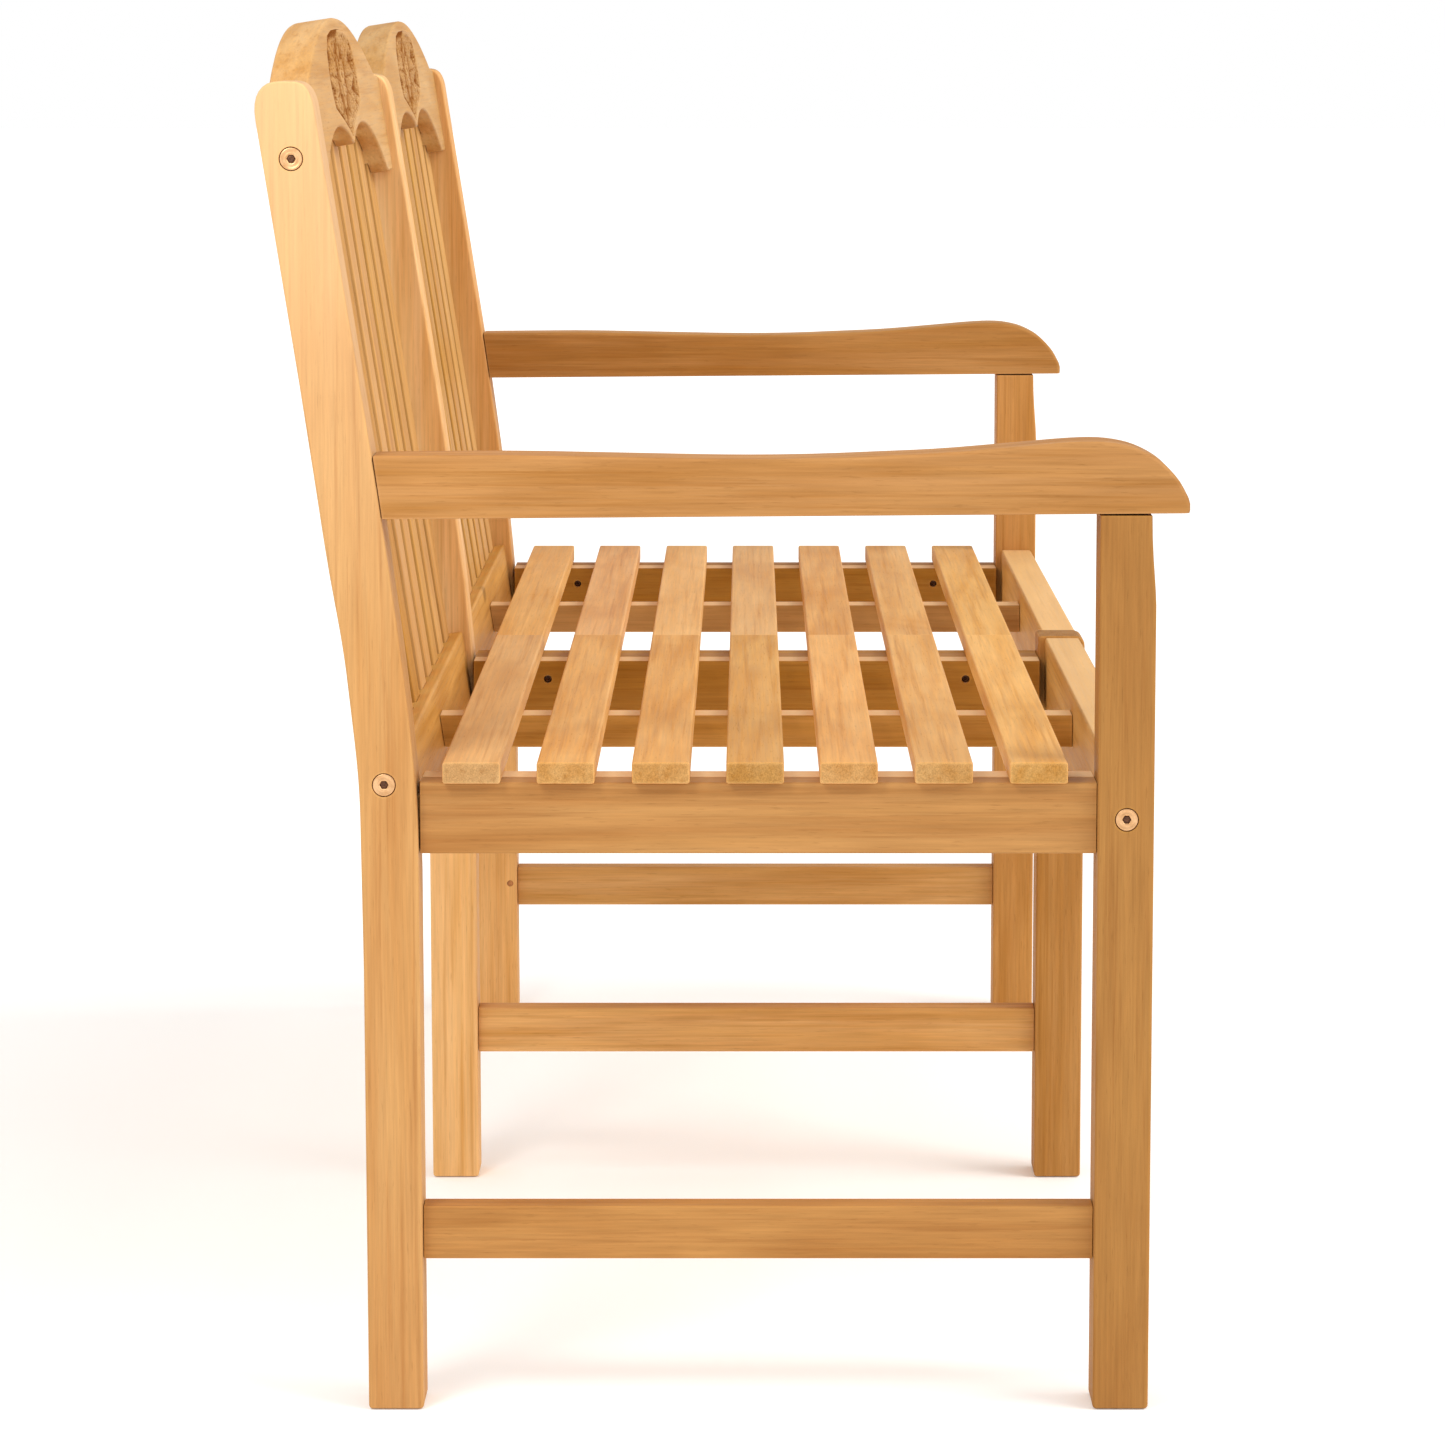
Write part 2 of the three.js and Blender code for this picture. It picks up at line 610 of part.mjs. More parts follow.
// a front-facing outline (x, z) given thickness along Y, starting at the front face frontY
function faceBoard(shape, centreX, frontY, thickness, edge) {
  const geometry = extruded(shape, thickness, edge, 4, 2);
  geometry.applyMatrix4(new THREE.Matrix4().makeBasis(
    new THREE.Vector3(1, 0, 0), new THREE.Vector3(0, 0, 1), new THREE.Vector3(0, -1, 0)));
  geometry.translate(centreX, frontY + thickness, 0);
  return solidOf(geometry);
}

// the waste past each end of a crest, which leaves square shoulders against the rear legs
function crestTrims(bayX) {
  const end = BAY_WIDTH / 2 - GAP;
  return [-1, 1].map((side) => ({
    x0: Math.min(bayX + side * end, bayX + side * (end + 2 * TRIM)),
    x1: Math.max(bayX + side * end, bayX + side * (end + 2 * TRIM)),
    y0: POST_LINE_Y - CREST_THICKNESS,
    y1: POST_LINE_Y + 2 * CREST_THICKNESS,
    z0: uprightZ(CREST_END_BOTTOM_Z) - CREST_THICKNESS,
    z1: uprightZ(CREST_TOP_Z),
  }));
}

function crestRail(name, bayX) {
  const frontY = POST_LINE_Y + CREST_SETBACK;
  const recess = faceBoard(shieldShape(), bayX, frontY - CUT_OVERSHOOT, CUT_OVERSHOOT + CARVING_DEPTH, 0);
  let crest = faceBoard(crestShape(), bayX, frontY, CREST_THICKNESS, CREST_EDGE);
  for (const trim of crestTrims(bayX)) {
    crest = crest.subtract(blockOf(trim));
  }
  crest = joinAll(crest.subtract(recess), backTenons(bayX, CREST_TENON));
  crest = leanBack(cutAll(crest, backSlatCentres(bayX).map(backSlatBox)));
  crest = crest.subtract(boltSeat(Math.sign(bayX) * END_FRAME_X, CREST_BOLT));
  return meshOf(name, crest);
}

// ---- seat ---------------------------------------------------------------------------------------

function seatSlat(name, side, y) {
  const inner = -side * TRIM;
  const outer = side * BENCH_LENGTH / 2;
  const low = vector(Math.min(inner, outer), y - SLAT_WIDTH / 2, SLAT_UNDERSIDE_Z);
  const high = vector(Math.max(inner, outer), y + SLAT_WIDTH / 2, SEAT_TOP_Z);
  const slat = bar("x", low, high, EDGE_RADIUS, SLAT_END_EDGE);
  const waste = [side * GAP / 2, -side * 2 * TRIM].sort((a, b) => a - b);
  return meshOf(name, slat.subtract(block(waste[0], waste[1], low.y - GAP, high.y + GAP, low.z - GAP, high.z + GAP)));
}

function batten(x0, thickness, height, y0, y1) {
  const low = vector(x0, y0, BATTEN_TOP_Z - height);
  const high = vector(x0 + thickness, y1, BATTEN_TOP_Z);
  return bar("y", low, high);
}

// an end batten lies against a frame rail and is bolted to it from its free side
function endBatten(name, x0, boltFaceSide) {
  let solid = batten(x0, END_BATTEN_THICKNESS, END_BATTEN_HEIGHT, FRONT_LEG_BACK_Y + GAP, REAR_LEG_FRONT_Y - GAP);
  const face = boltFaceSide < 0 ? x0 : x0 + END_BATTEN_THICKNESS;
  for (const y of BATTEN_BOLTS_Y) {
    const ends = [face + boltFaceSide * CUT_OVERSHOOT, face - boltFaceSide * BATTEN_BOLT_DEPTH];
    solid = solid.subtract(pin(Math.min(...ends), Math.max(...ends), y, BATTEN_BOLT_Z, BATTEN_BOLT_DIAMETER));
  }
  return meshOf(name, solid);
}

// a middle batten runs from the apron to the leaning face of the lower back rail
function middleBatten(name, x) {
  const rail = lowerRailBox(Math.sign(x) * BAY_CENTRE_X);
  const solid = batten(x - MIDDLE_BATTEN_THICKNESS / 2, MIDDLE_BATTEN_THICKNESS, MIDDLE_BATTEN_HEIGHT,
    APRON_BACK_Y + GAP, rail.y0);
  return meshOf(name, cutAll(solid, [rail], leanBack));
}

// ---- assembly -----------------------------------------------------------------------------------

function bench() {
  const group = new THREE.Group();
  group.name = "garden_bench";
  const frames = [["left", -END_FRAME_X], ["middle", 0], ["right", END_FRAME_X]];
  const bays = [["left", -BAY_CENTRE_X], ["right", BAY_CENTRE_X]];

  for (const [side, x] of frames) {
    group.add(rearLeg(`rear_leg_${side}`, x));
    group.add(frontLeg(`front_leg_${side}`, x));
    const thickness = x === 0 ? LEG_THICKNESS : SEAT_RAIL_THICKNESS;
    group.add(frameRail(`seat_rail_${side}`, x, thickness, SEAT_RAIL_BOTTOM_Z, SEAT_RAIL_HEIGHT, SEAT_RAIL_TENON));
    group.add(frameRail(`side_stretcher_${side}`, x, STRETCHER_THICKNESS,
      STRETCHER_BOTTOM_Z, STRETCHER_HEIGHT, STRETCHER_TENON));
    if (x !== 0) {
      group.add(armrest(`armrest_${side}`, x));
    }
  }

  for (const [side, x] of bays) {
    group.add(frontApron(`front_apron_${side}`, x));
    group.add(lowerBackRail(`lower_back_rail_${side}`, x));
    group.add(crestRail(`crest_rail_${side}`, x));
    backSlatCentres(x).forEach((slatX, i) => {
      group.add(backSlat(`back_slat_${side}_${i + 1}`, slatX));
    });
    SLAT_CENTRES_Y.forEach((y, i) => {
      group.add(seatSlat(`seat_slat_${side}_${i + 1}`, Math.sign(x), y));
    });
    group.add(middleBatten(`seat_batten_${side}_mid`, Math.sign(x) * BENCH_LENGTH / 4));
  }

  const railFace = END_FRAME_X - SEAT_RAIL_THICKNESS / 2 - GAP;
  const middleFace = LEG_THICKNESS / 2 + GAP;
  group.add(endBatten("seat_batten_left_outer", -railFace, 1));
  group.add(endBatten("seat_batten_left_inner", -middleFace - END_BATTEN_THICKNESS, -1));
  group.add(endBatten("seat_batten_right_outer", railFace - END_BATTEN_THICKNESS, -1));
  return group;
}

export default bench();
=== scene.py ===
"""Looks of the garden bench: timber materials, fittings, carved crest relief, floor, light and camera.

The boards come from the frame. Named lengths are millimetres, except where a comment says metres.
"""
import math

import bpy
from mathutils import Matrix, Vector, noise as solid_noise


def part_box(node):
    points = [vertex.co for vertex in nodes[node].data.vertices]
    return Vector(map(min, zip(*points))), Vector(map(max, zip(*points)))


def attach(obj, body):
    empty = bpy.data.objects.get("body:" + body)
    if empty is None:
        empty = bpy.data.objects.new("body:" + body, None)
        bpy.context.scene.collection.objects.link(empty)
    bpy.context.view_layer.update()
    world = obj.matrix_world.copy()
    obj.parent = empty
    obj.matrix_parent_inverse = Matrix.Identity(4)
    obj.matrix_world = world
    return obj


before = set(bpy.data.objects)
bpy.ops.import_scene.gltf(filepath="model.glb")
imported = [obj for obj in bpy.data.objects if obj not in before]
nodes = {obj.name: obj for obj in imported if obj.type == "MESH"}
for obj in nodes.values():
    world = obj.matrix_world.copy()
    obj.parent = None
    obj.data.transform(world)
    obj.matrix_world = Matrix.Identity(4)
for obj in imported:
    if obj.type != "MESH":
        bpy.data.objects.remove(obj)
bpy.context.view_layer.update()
scene = bpy.context.scene

MM = 0.001

# places shared with the CAD model
CENTRING_Y = -1.9
RECLINE = math.atan(0.1543)
BACK_PIVOT_Y = 193.97
BACK_PIVOT_Z = 430
CREST_SETBACK = 6.5
CARVING_DEPTH = 4.0
SHIELD_OUTLINE = [
    # half width, height
    (0, 892), (45, 891), (78, 887), (96, 876), (104, 862),
    (103, 848), (94, 838.5), (50, 830), (20, 823), (0, 817.5),
]
BOLT_CENTRES = {"crest": (272.3, 809.3), "lower_rail": (217.8, 410.7), "apron": (-257.1, 388.2)}
BATTEN_BOLTS_Y = (138.5, -181.6)
BATTEN_BOLT_Z = 397
STRETCHER_DOWEL = (202.0, 119.5)


# ---- shader helpers -----------------------------------------------------------------------------

def set_input(tree, target, value):
    """Links the value when it is another node's output, and sets it otherwise."""
    if isinstance(value, bpy.types.NodeSocket):
        tree.links.new(value, target)
    else:
        target.default_value = value


def add_node(tree, kind, inputs=None, **settings):
    """A shader node with its settings and its inputs."""
    made = tree.nodes.new(kind)
    for key, value in settings.items():
        setattr(made, key, value)
    for key, value in (inputs or {}).items():
        set_input(tree, made.inputs[key], value)
    return made


def maths(tree, operation, first, second=0.0):
    return add_node(tree, "ShaderNodeMath", {0: first, 1: second}, operation=operation).outputs[0]


def product(tree, first, second):
    return maths(tree, "MULTIPLY", first, second)


def vector_maths(tree, operation, first, second=(0, 0, 0), third=None):
    inputs = {0: first, 1: second}
    if third is not None:
        inputs[2] = third
    return add_node(tree, "ShaderNodeVectorMath", inputs, operation=operation).outputs[0]


def scaled_colour(tree, colour, level):
    return add_node(tree, "ShaderNodeVectorMath", {0: colour, 3: level}, operation="SCALE").outputs[0]


def remap(tree, value, from_low, from_high, to_low=0.0, to_high=1.0):
    made = add_node(tree, "ShaderNodeMapRange", {
        "Value": value, "From Min": from_low, "From Max": from_high, "To Min": to_low, "To Max": to_high})
    return made.outputs["Result"]


def blend(tree, amount, first, second):
    """From the first colour to the second as the amount goes from 0 to 1."""
    made = add_node(tree, "ShaderNodeMix", data_type="RGBA")
    for index, value in ((0, amount), (6, first), (7, second)):
        set_input(tree, made.inputs[index], value)
    return made.outputs[2]


def noise(tree, vector, scale, detail=3.0, roughness=0.5, distortion=0.0):
    made = add_node(tree, "ShaderNodeTexNoise", {
        "Vector": vector, "Scale": scale, "Detail": detail,
        "Roughness": roughness, "Distortion": distortion})
    return made.outputs["Fac"]


def object_position(tree):
    return add_node(tree, "ShaderNodeTexCoord").outputs["Object"]


def surface_normal(tree):
    return add_node(tree, "ShaderNodeNewGeometry").outputs["Normal"]


def edge_facing(tree, radius):
    """One on flat faces, and less close to an edge. The radius is in metres."""
    rounded = add_node(tree, "ShaderNodeBevel", {"Radius": radius}, samples=4).outputs[0]
    compared = {0: rounded, 1: surface_normal(tree)}
    return add_node(tree, "ShaderNodeVectorMath", compared, operation="DOT_PRODUCT").outputs["Value"]


def bumped(tree, height, strength, distance):
    """The normal of a surface with fine relief. The distance is in metres."""
    inputs = {"Strength": strength, "Distance": distance, "Height": height}
    return add_node(tree, "ShaderNodeBump", inputs).outputs[0]


def surface(tree, colour, rough, normal):
    inputs = {"Base Color": colour, "Roughness": rough, "Normal": normal}
    return add_node(tree, "ShaderNodeBsdfPrincipled", inputs)


def new_material(name):
    material = bpy.data.materials.new(name)
    material.use_nodes = True
    material.node_tree.nodes.clear()
    return material, material.node_tree


def finish_material(tree, shader):
    add_node(tree, "ShaderNodeOutputMaterial", {"Surface": shader.outputs[0]})


def srgb(red, green, blue):
    """A linear colour from the usual 0 to 255 display values."""
    def linear(value):
        value = value / 255
        return value / 12.92 if value <= 0.04045 else ((value + 0.055) / 1.055) ** 2.4
    return (linear(red), linear(green), linear(blue), 1.0)


def times(colour, red, green=None, blue=None):
    """The colour with its channels multiplied: all by one factor, or each by its own."""
    factors = (red, red if green is None else green, red if blue is None else blue)
    return tuple(channel * factor for channel, factor in zip(colour, factors)) + (1.0,)


# ---- timber -------------------------------------------------------------------------------------

# pale, middle and deep colour of each timber
GOLDEN = (srgb(214, 166, 104), srgb(202, 148, 82), srgb(182, 121, 54))
HONEY = (srgb(204, 152, 88), srgb(190, 136, 70), srgb(166, 109, 46))
AMBER = (srgb(196, 141, 78), srgb(180, 124, 60), srgb(154, 98, 40))
# painted light, growing towards the top of the back post
PAINTED_UPPER_LIGHT_COLOUR = srgb(240, 206, 164)
# painted light on the faces that point up
PAINTED_TOP_LIGHT_COLOUR = srgb(244, 204, 152)
# painted shade in the sunk parts of the carving
PAINTED_RECESS_SHADE_COLOUR = srgb(122, 64, 20)
CREST_TINT = (0.91, 1.01, 1.35)

# cells of space in metres: boards that lie in different cells get different random numbers
WHOLE = (10, 10, 10)
FRAME_CELL = (0.3, 10, 10)
SEAT_CELL = (10, 0.06046, 10)
SLAT_CELL = (0.06, 10, 10)
CENTRE_ORIGIN = (0, -5, -5)
FRAME_ORIGIN = (-0.15, -5, -5)
SEAT_ORIGIN = (0, -0.23295, 0)
SLAT_ORIGIN = (0.021, 0, 0)
HALF_CELL = (1000, 1000, 1000)
HALF_SHIFT = (7.3, 0, 0)

# where in the endless grain a board is cut, in metres for a random number or a seed of one
BOARD_SHIFT = (9.1, 7.7, 8.3)
SEED_SHIFT = (1.0, 1.7, 0.6)

GRAIN_LAYERS = {
    # squeeze along the grain, scale, detail, roughness, distortion
    "streaks": (0.045, 70.0, 4.0, 0.55, 0.4),
    "lines": (0.02, 230.0, 3.0, 0.6, 0.2),
    "fibres": (0.03, 520.0, 3.0, 0.6, 0.0),
    "pores": (0.085, 900.0, 2.0, 0.5, 0.0),
    "patches": (0.45, 11.0, 3.0, 0.55, 0.6),
    "sap": (0.07, 15.0, 2.0, 0.45, 0.0),
}
DRIFT_SQUEEZE = 0.22
DRIFT_REACH = (0.055, 0.055, 0.055)
BAND_SQUEEZE = 0.085
KNOT_SQUEEZE = 0.45

# the radius of the painted edge highlight is in metres
EDGE_HIGHLIGHT_RADIUS = 0.0028
TIMBER_SPECULAR = 0.07


def board_randoms(tree, position, cell, origin, mirrored):
    """Three random numbers that stay the same over one board, from the cell of space the board lies in."""
    source = vector_maths(tree, "ABSOLUTE", position) if mirrored else position
    moved = vector_maths(tree, "SUBTRACT", source, origin)
    index = vector_maths(tree, "FLOOR", vector_maths(tree, "DIVIDE", moved, cell))
    half = vector_maths(tree, "FLOOR", vector_maths(tree, "DIVIDE", position, HALF_CELL))
    whole = vector_maths(tree, "MULTIPLY_ADD", half, HALF_SHIFT, index)
    made = add_node(tree, "ShaderNodeTexWhiteNoise", {"Vector": whole}, noise_dimensions="3D")
    return made.outputs["Color"]


def grain_place(tree, position, randoms, leaning, seed):
    """The place of each point in the endless grain, turned with the back where the board leans."""
    turned = position
    if leaning:
        turned = add_node(tree, "ShaderNodeMapping", {
            "Vector": position, "Rotation": (RECLINE, 0, 0)}).outputs[0]
    shifted = vector_maths(tree, "MULTIPLY_ADD", randoms, BOARD_SHIFT, turned)
    return vector_maths(tree, "ADD", shifted, tuple(seed * shift for shift in SEED_SHIFT))


def grain_layers(tree, place, index):
    """The layers of the grain by name, each drawn out along the axis with this index."""
    def squeezed(along):
        scale = [1.0] * 3
        scale[index] = along
        return add_node(tree, "ShaderNodeMapping", {"Vector": place, "Scale": tuple(scale)}).outputs[0]

    layers = {}
    for name, (along, *look) in GRAIN_LAYERS.items():
        layers[name] = noise(tree, squeezed(along), *look)

    # a slow drift bends the growth bands
    drift = add_node(tree, "ShaderNodeTexNoise", {
        "Vector": squeezed(DRIFT_SQUEEZE), "Scale": 7.0, "Detail": 2.0}).outputs["Color"]
    warped = vector_maths(tree, "MULTIPLY_ADD", drift, DRIFT_REACH, squeezed(BAND_SQUEEZE))
    layers["bands"] = add_node(tree, "ShaderNodeTexWave", {
        "Vector": warped, "Scale": 21.0, "Distortion": 6.0, "Detail": 3.0, "Detail Scale": 1.4,
        "Detail Roughness": 0.55}, wave_type="BANDS", bands_direction="DIAGONAL").outputs["Fac"]
    layers["knots"] = add_node(tree, "ShaderNodeTexVoronoi", {
        "Vector": squeezed(KNOT_SQUEEZE), "Scale": 4.6, "Randomness": 1.0},
        feature="F1", distance="EUCLIDEAN").outputs["Distance"]
    layers["pores"] = remap(tree, layers["pores"], 0.62, 0.74, 0.0, 0.20)
    return layers


def board_colour(tree, layers, board, tones, figure):
    """The timber's colour from its grain layers and the board's three random numbers."""
    pale, middle, deep = tones
    colour = blend(tree, remap(tree, layers["bands"], 0.1, 0.95, 0.0, 0.42 * figure), middle, deep)
    colour = blend(tree, remap(tree, layers["streaks"], 0.36, 0.64, 0.0, 0.55), colour, pale)
    sap_edge = maths(tree, "ADD", layers["sap"], product(tree, board[1], 0.14))
    colour = blend(tree, remap(tree, sap_edge, 0.59, 0.66, 0.0, 0.45), colour, pale)
    colour = blend(tree, remap(tree, layers["patches"], 0.42, 0.72, 0.0, 0.5 * figure), colour, deep)
    line_colour = times(deep, 0.84, 0.76, 0.58)
    colour = blend(tree, remap(tree, layers["lines"], 0.53, 0.70, 0.0, 0.42), colour, line_colour)
    colour = blend(tree, layers["pores"], colour, times(deep, 0.4))
    colour = blend(tree, remap(tree, layers["knots"], 0.045, 0.016, 0.0, 0.55), colour, times(deep, 0.35))
    fibre_level = remap(tree, layers["fibres"], 0.3, 0.7, 0.90, 1.09)
    board_level = remap(tree, board[0], 0.0, 1.0, 0.92, 1.07)
    colour = scaled_colour(tree, colour, product(tree, fibre_level, board_level))
    return add_node(tree, "ShaderNodeHueSaturation", {
        "Hue": remap(tree, board[2], 0.0, 1.0, 0.496, 0.503),
        "Saturation": remap(tree, board[1], 0.0, 1.0, 1.04, 0.95),
        "Value": 1.0, "Fac": 1.0, "Color": colour}).outputs[0]


def face_colour(tree, colour, place, index, deep, painted_side_shade, painted_top_light):
    """End grain drinks more oil, so it is deeper and speckled; faces that point along X take painted shade,
    and faces that point up or down take painted light.
    """
    normal = vector_maths(tree, "ABSOLUTE", surface_normal(tree))
    axes = add_node(tree, "ShaderNodeSeparateXYZ", {0: normal}).outputs
    specks = noise(tree, place, 1100.0, 2.0, 0.6)
    end_colour = scaled_colour(tree, colour, remap(tree, specks, 0.35, 0.65, 0.62, 0.84))
    colour = blend(tree, remap(tree, axes[index], 0.80, 0.95), colour, end_colour)
    # painted shade: the back slats' sides, which point along X, are darkened to stand for the shade in the
    # gaps between the slats
    if painted_side_shade > 0:
        painted_side_shade_mask = remap(tree, axes[0], 0.6, 0.9, 0.0, painted_side_shade)
        colour = blend(tree, painted_side_shade_mask, colour, times(deep, 0.35))
    # painted light: faces that point up or down are paled, for the light on the tops of the battens and
    # aprons
    if painted_top_light > 0:
        painted_top_light_mask = remap(tree, axes[2], 0.8, 0.95, 0.0, painted_top_light)
        colour = blend(tree, painted_top_light_mask, colour, PAINTED_TOP_LIGHT_COLOUR)
    return colour


def with_painted_upper_light(tree, colour, position, streaks, painted_upper_light):
    """Painted light: the colour paled towards the top of the back, where more light falls, more in some
    streaks than in others.
    """
    height = add_node(tree, "ShaderNodeSeparateXYZ", {0: position}).outputs[2]
    painted_light_by_height = remap(tree, height, 0.5, 0.88, 0.0, painted_upper_light)
    by_streak = remap(tree, streaks, 0.3, 0.7, 1.15, 0.7)
    return blend(tree, product(tree, painted_light_by_height, by_streak), colour, PAINTED_UPPER_LIGHT_COLOUR)


def painted_highlight_and_wear_on_edges(tree, colour, streaks, pale):
    """Edges are a little paler: painted highlight along the rounded edges, with some wear from handling and
    sanding.
    """
    edge_highlight_mask = remap(tree, edge_facing(tree, EDGE_HIGHLIGHT_RADIUS), 0.99, 0.84, 0.0, 0.55)
    highlight_and_wear = product(tree, edge_highlight_mask, remap(tree, streaks, 0.3, 0.65, 0.5, 1.0))
    return blend(tree, highlight_and_wear, colour, times(pale, 1.25))


def timber(name, grain, tones, cell, origin=CENTRE_ORIGIN, mirrored=False, leaning=False, seed=0.0,
           figure=1.0, tint=(1, 1, 1), painted_side_shade=0.0, painted_top_light=0.0, painted_upper_light=0.0, painted_recess_shade=False):
    """Oiled hardwood: growth bands, fibres, pores, sapwood streaks, and soft paler edges that are partly
    painted highlight and partly wear.
    grain is the axis the fibres follow; tones are the pale, middle and deep colours; the side shade paints
    shade on the faces that point along X, the top light paints light on the faces that point up or down,
    the upper light paints light that grows towards the top of the back, and the recess shade paints shade
    into the sunk parts of a carving."""
    material, tree = new_material(name)
    position = object_position(tree)
    randoms = board_randoms(tree, position, cell, origin, mirrored)
    board = add_node(tree, "ShaderNodeSeparateColor", {"Color": randoms}).outputs
    place = grain_place(tree, position, randoms, leaning, seed)
    index = "xyz".index(grain)
    layers = grain_layers(tree, place, index)
    pale, middle, deep = [times(tone, *tint) for tone in tones]

    colour = board_colour(tree, layers, board, (pale, middle, deep), figure)
    colour = face_colour(tree, colour, place, index, deep, painted_side_shade, painted_top_light)
    # painted light that grows towards the top of the back post
    if painted_upper_light > 0:
        colour = with_painted_upper_light(tree, colour, position, layers["streaks"], painted_upper_light)
    # painted highlight along the edges, with some wear
    colour = painted_highlight_and_wear_on_edges(tree, colour, layers["streaks"], pale)
    specular = TIMBER_SPECULAR
    # painted shade in the carving: darker and without sheen where each point's painted shade is high
    if painted_recess_shade:
        depth = add_node(tree, "ShaderNodeAttribute", attribute_name="painted_recess_shade").outputs["Fac"]
        colour = blend(tree, depth, colour, PAINTED_RECESS_SHADE_COLOUR)
        specular = remap(tree, depth, 0.0, 0.5, TIMBER_SPECULAR, 0.0)

    dry_fibres = remap(tree, layers["fibres"], 0.25, 0.75, 0.46, 0.64)
    rough = maths(tree, "ADD", dry_fibres, product(tree, layers["pores"], 0.4))
    raised = product(tree, layers["fibres"], 0.6)
    relief = maths(tree, "SUBTRACT", raised, product(tree, layers["pores"], 1.6))
    relief = maths(tree, "ADD", relief, product(tree, layers["bands"], 0.3))
    shader = surface(tree, colour, rough, bumped(tree, relief, 0.3, 0.0003))
    set_input(tree, shader.inputs["Specular IOR Level"], specular)
    finish_material(tree, shader)
    return material


def timber_materials():
    """Timbers by the start of a node's name; a whole name comes before the plain kind."""
    return {
        # the tints differ board by board: partly the boards' own tone, and partly painted light and shade,
        # darker on the left frame, which the key light reaches most, and lighter on the middle and right
        # boards
        "rear_leg_middle": timber(
            "timber_rear_leg_middle", "z", GOLDEN, WHOLE, seed=1.9, figure=0.7, tint=(1.22, 1.41, 2.08)),
        "rear_leg_right": timber(
            "timber_rear_leg_right", "z", GOLDEN, WHOLE, seed=2.2, figure=0.7, tint=(1.09, 1.12, 1.42)),
        "front_leg_middle": timber(
            "timber_front_leg_middle", "z", HONEY, WHOLE, seed=3.3, figure=0.8, tint=(0.83, 0.82, 1.00)),
        "front_leg_right": timber(
            "timber_front_leg_right", "z", HONEY, WHOLE, seed=3.8, figure=0.8, tint=(0.95, 0.93, 1.15)),
        "side_stretcher_middle": timber(
            "timber_stretcher_middle", "y", HONEY, WHOLE, seed=6.6, tint=(1.17, 1.30, 1.95)),
        "side_stretcher_right": timber(
            "timber_stretcher_right", "y", HONEY, WHOLE, seed=6.9, tint=(1.06, 1.15, 1.65)),
        "rear_leg": timber(
            "timber_rear_leg", "z", GOLDEN, FRAME_CELL, FRAME_ORIGIN, seed=1.3, figure=0.7,
            tint=(0.885, 0.88, 0.81), painted_upper_light=0.36),
        "front_leg": timber(
            "timber_front_leg", "z", HONEY, FRAME_CELL, FRAME_ORIGIN, seed=2.9, figure=0.8,
            tint=(0.70, 0.65, 0.43)),
        "armrest_right": timber(
            "timber_armrest_right", "y", HONEY, WHOLE, seed=4.6, tint=(0.84, 0.84, 1.08)),
        "armrest": timber(
            "timber_armrest", "y", HONEY, WHOLE, seed=4.1, tint=(0.79, 0.78, 1.06)),
        "seat_rail": timber(
            "timber_seat_rail", "y", HONEY, FRAME_CELL, FRAME_ORIGIN, seed=5.7, figure=1.2,
            tint=(0.87, 0.87, 0.80)),
        "side_stretcher": timber(
            "timber_stretcher", "y", HONEY, FRAME_CELL, FRAME_ORIGIN, seed=6.2, tint=(0.84, 0.80, 0.62)),
        "front_apron_right": timber(
            "timber_apron_right", "x", HONEY, WHOLE, seed=7.8, tint=(1.12, 1.22, 1.50), painted_top_light=0.4),
        "front_apron": timber(
            "timber_apron", "x", HONEY, WHOLE, seed=7.4, tint=(0.96, 1.06, 1.30), painted_top_light=0.4),
        "lower_back_rail": timber(
            "timber_lower_rail", "x", HONEY, WHOLE, leaning=True, seed=8.8, tint=(1.05, 1.08, 1.2)),
        "crest_rail": timber(
            "timber_crest", "x", GOLDEN, WHOLE, leaning=True, seed=9.5, tint=CREST_TINT),
        "back_slat": timber(
            "timber_back_slat", "z", HONEY, SLAT_CELL, SLAT_ORIGIN, mirrored=True, leaning=True, seed=10.6,
            tint=(1.13, 1.20, 1.20), painted_side_shade=0.42),
        "seat_slat": timber(
            "timber_seat_slat", "x", GOLDEN, SEAT_CELL, SEAT_ORIGIN, seed=11.2, tint=(1.09, 1.14, 1.26)),
        # painted shade: these two battens take a darker tint than the others for the shade they stand in
        "seat_batten_left_inner": timber(
            "timber_batten_inner_painted_shade", "y", AMBER, WHOLE, seed=13.3, tint=(0.76, 0.74, 0.64), painted_top_light=0.75),
        "seat_batten_right_outer": timber(
            "timber_batten_outer_painted_shade", "y", AMBER, WHOLE, seed=13.9, tint=(0.78, 0.76, 0.66), painted_top_light=0.75),
        "seat_batten": timber(
            "timber_batten", "y", AMBER, FRAME_CELL, FRAME_ORIGIN, seed=12.9, tint=(0.98, 1.04, 1.12),
            painted_top_light=0.75),
    }


# the CAD solids are faceted: points this close are welded, and facets within this angle are merged
WELD_DISTANCE = 0.02
FLAT_ANGLE = 0.4
ARRIS_WIDTH = 0.35
ARRIS_ANGLE = 60
NORMAL_WEIGHT = 80


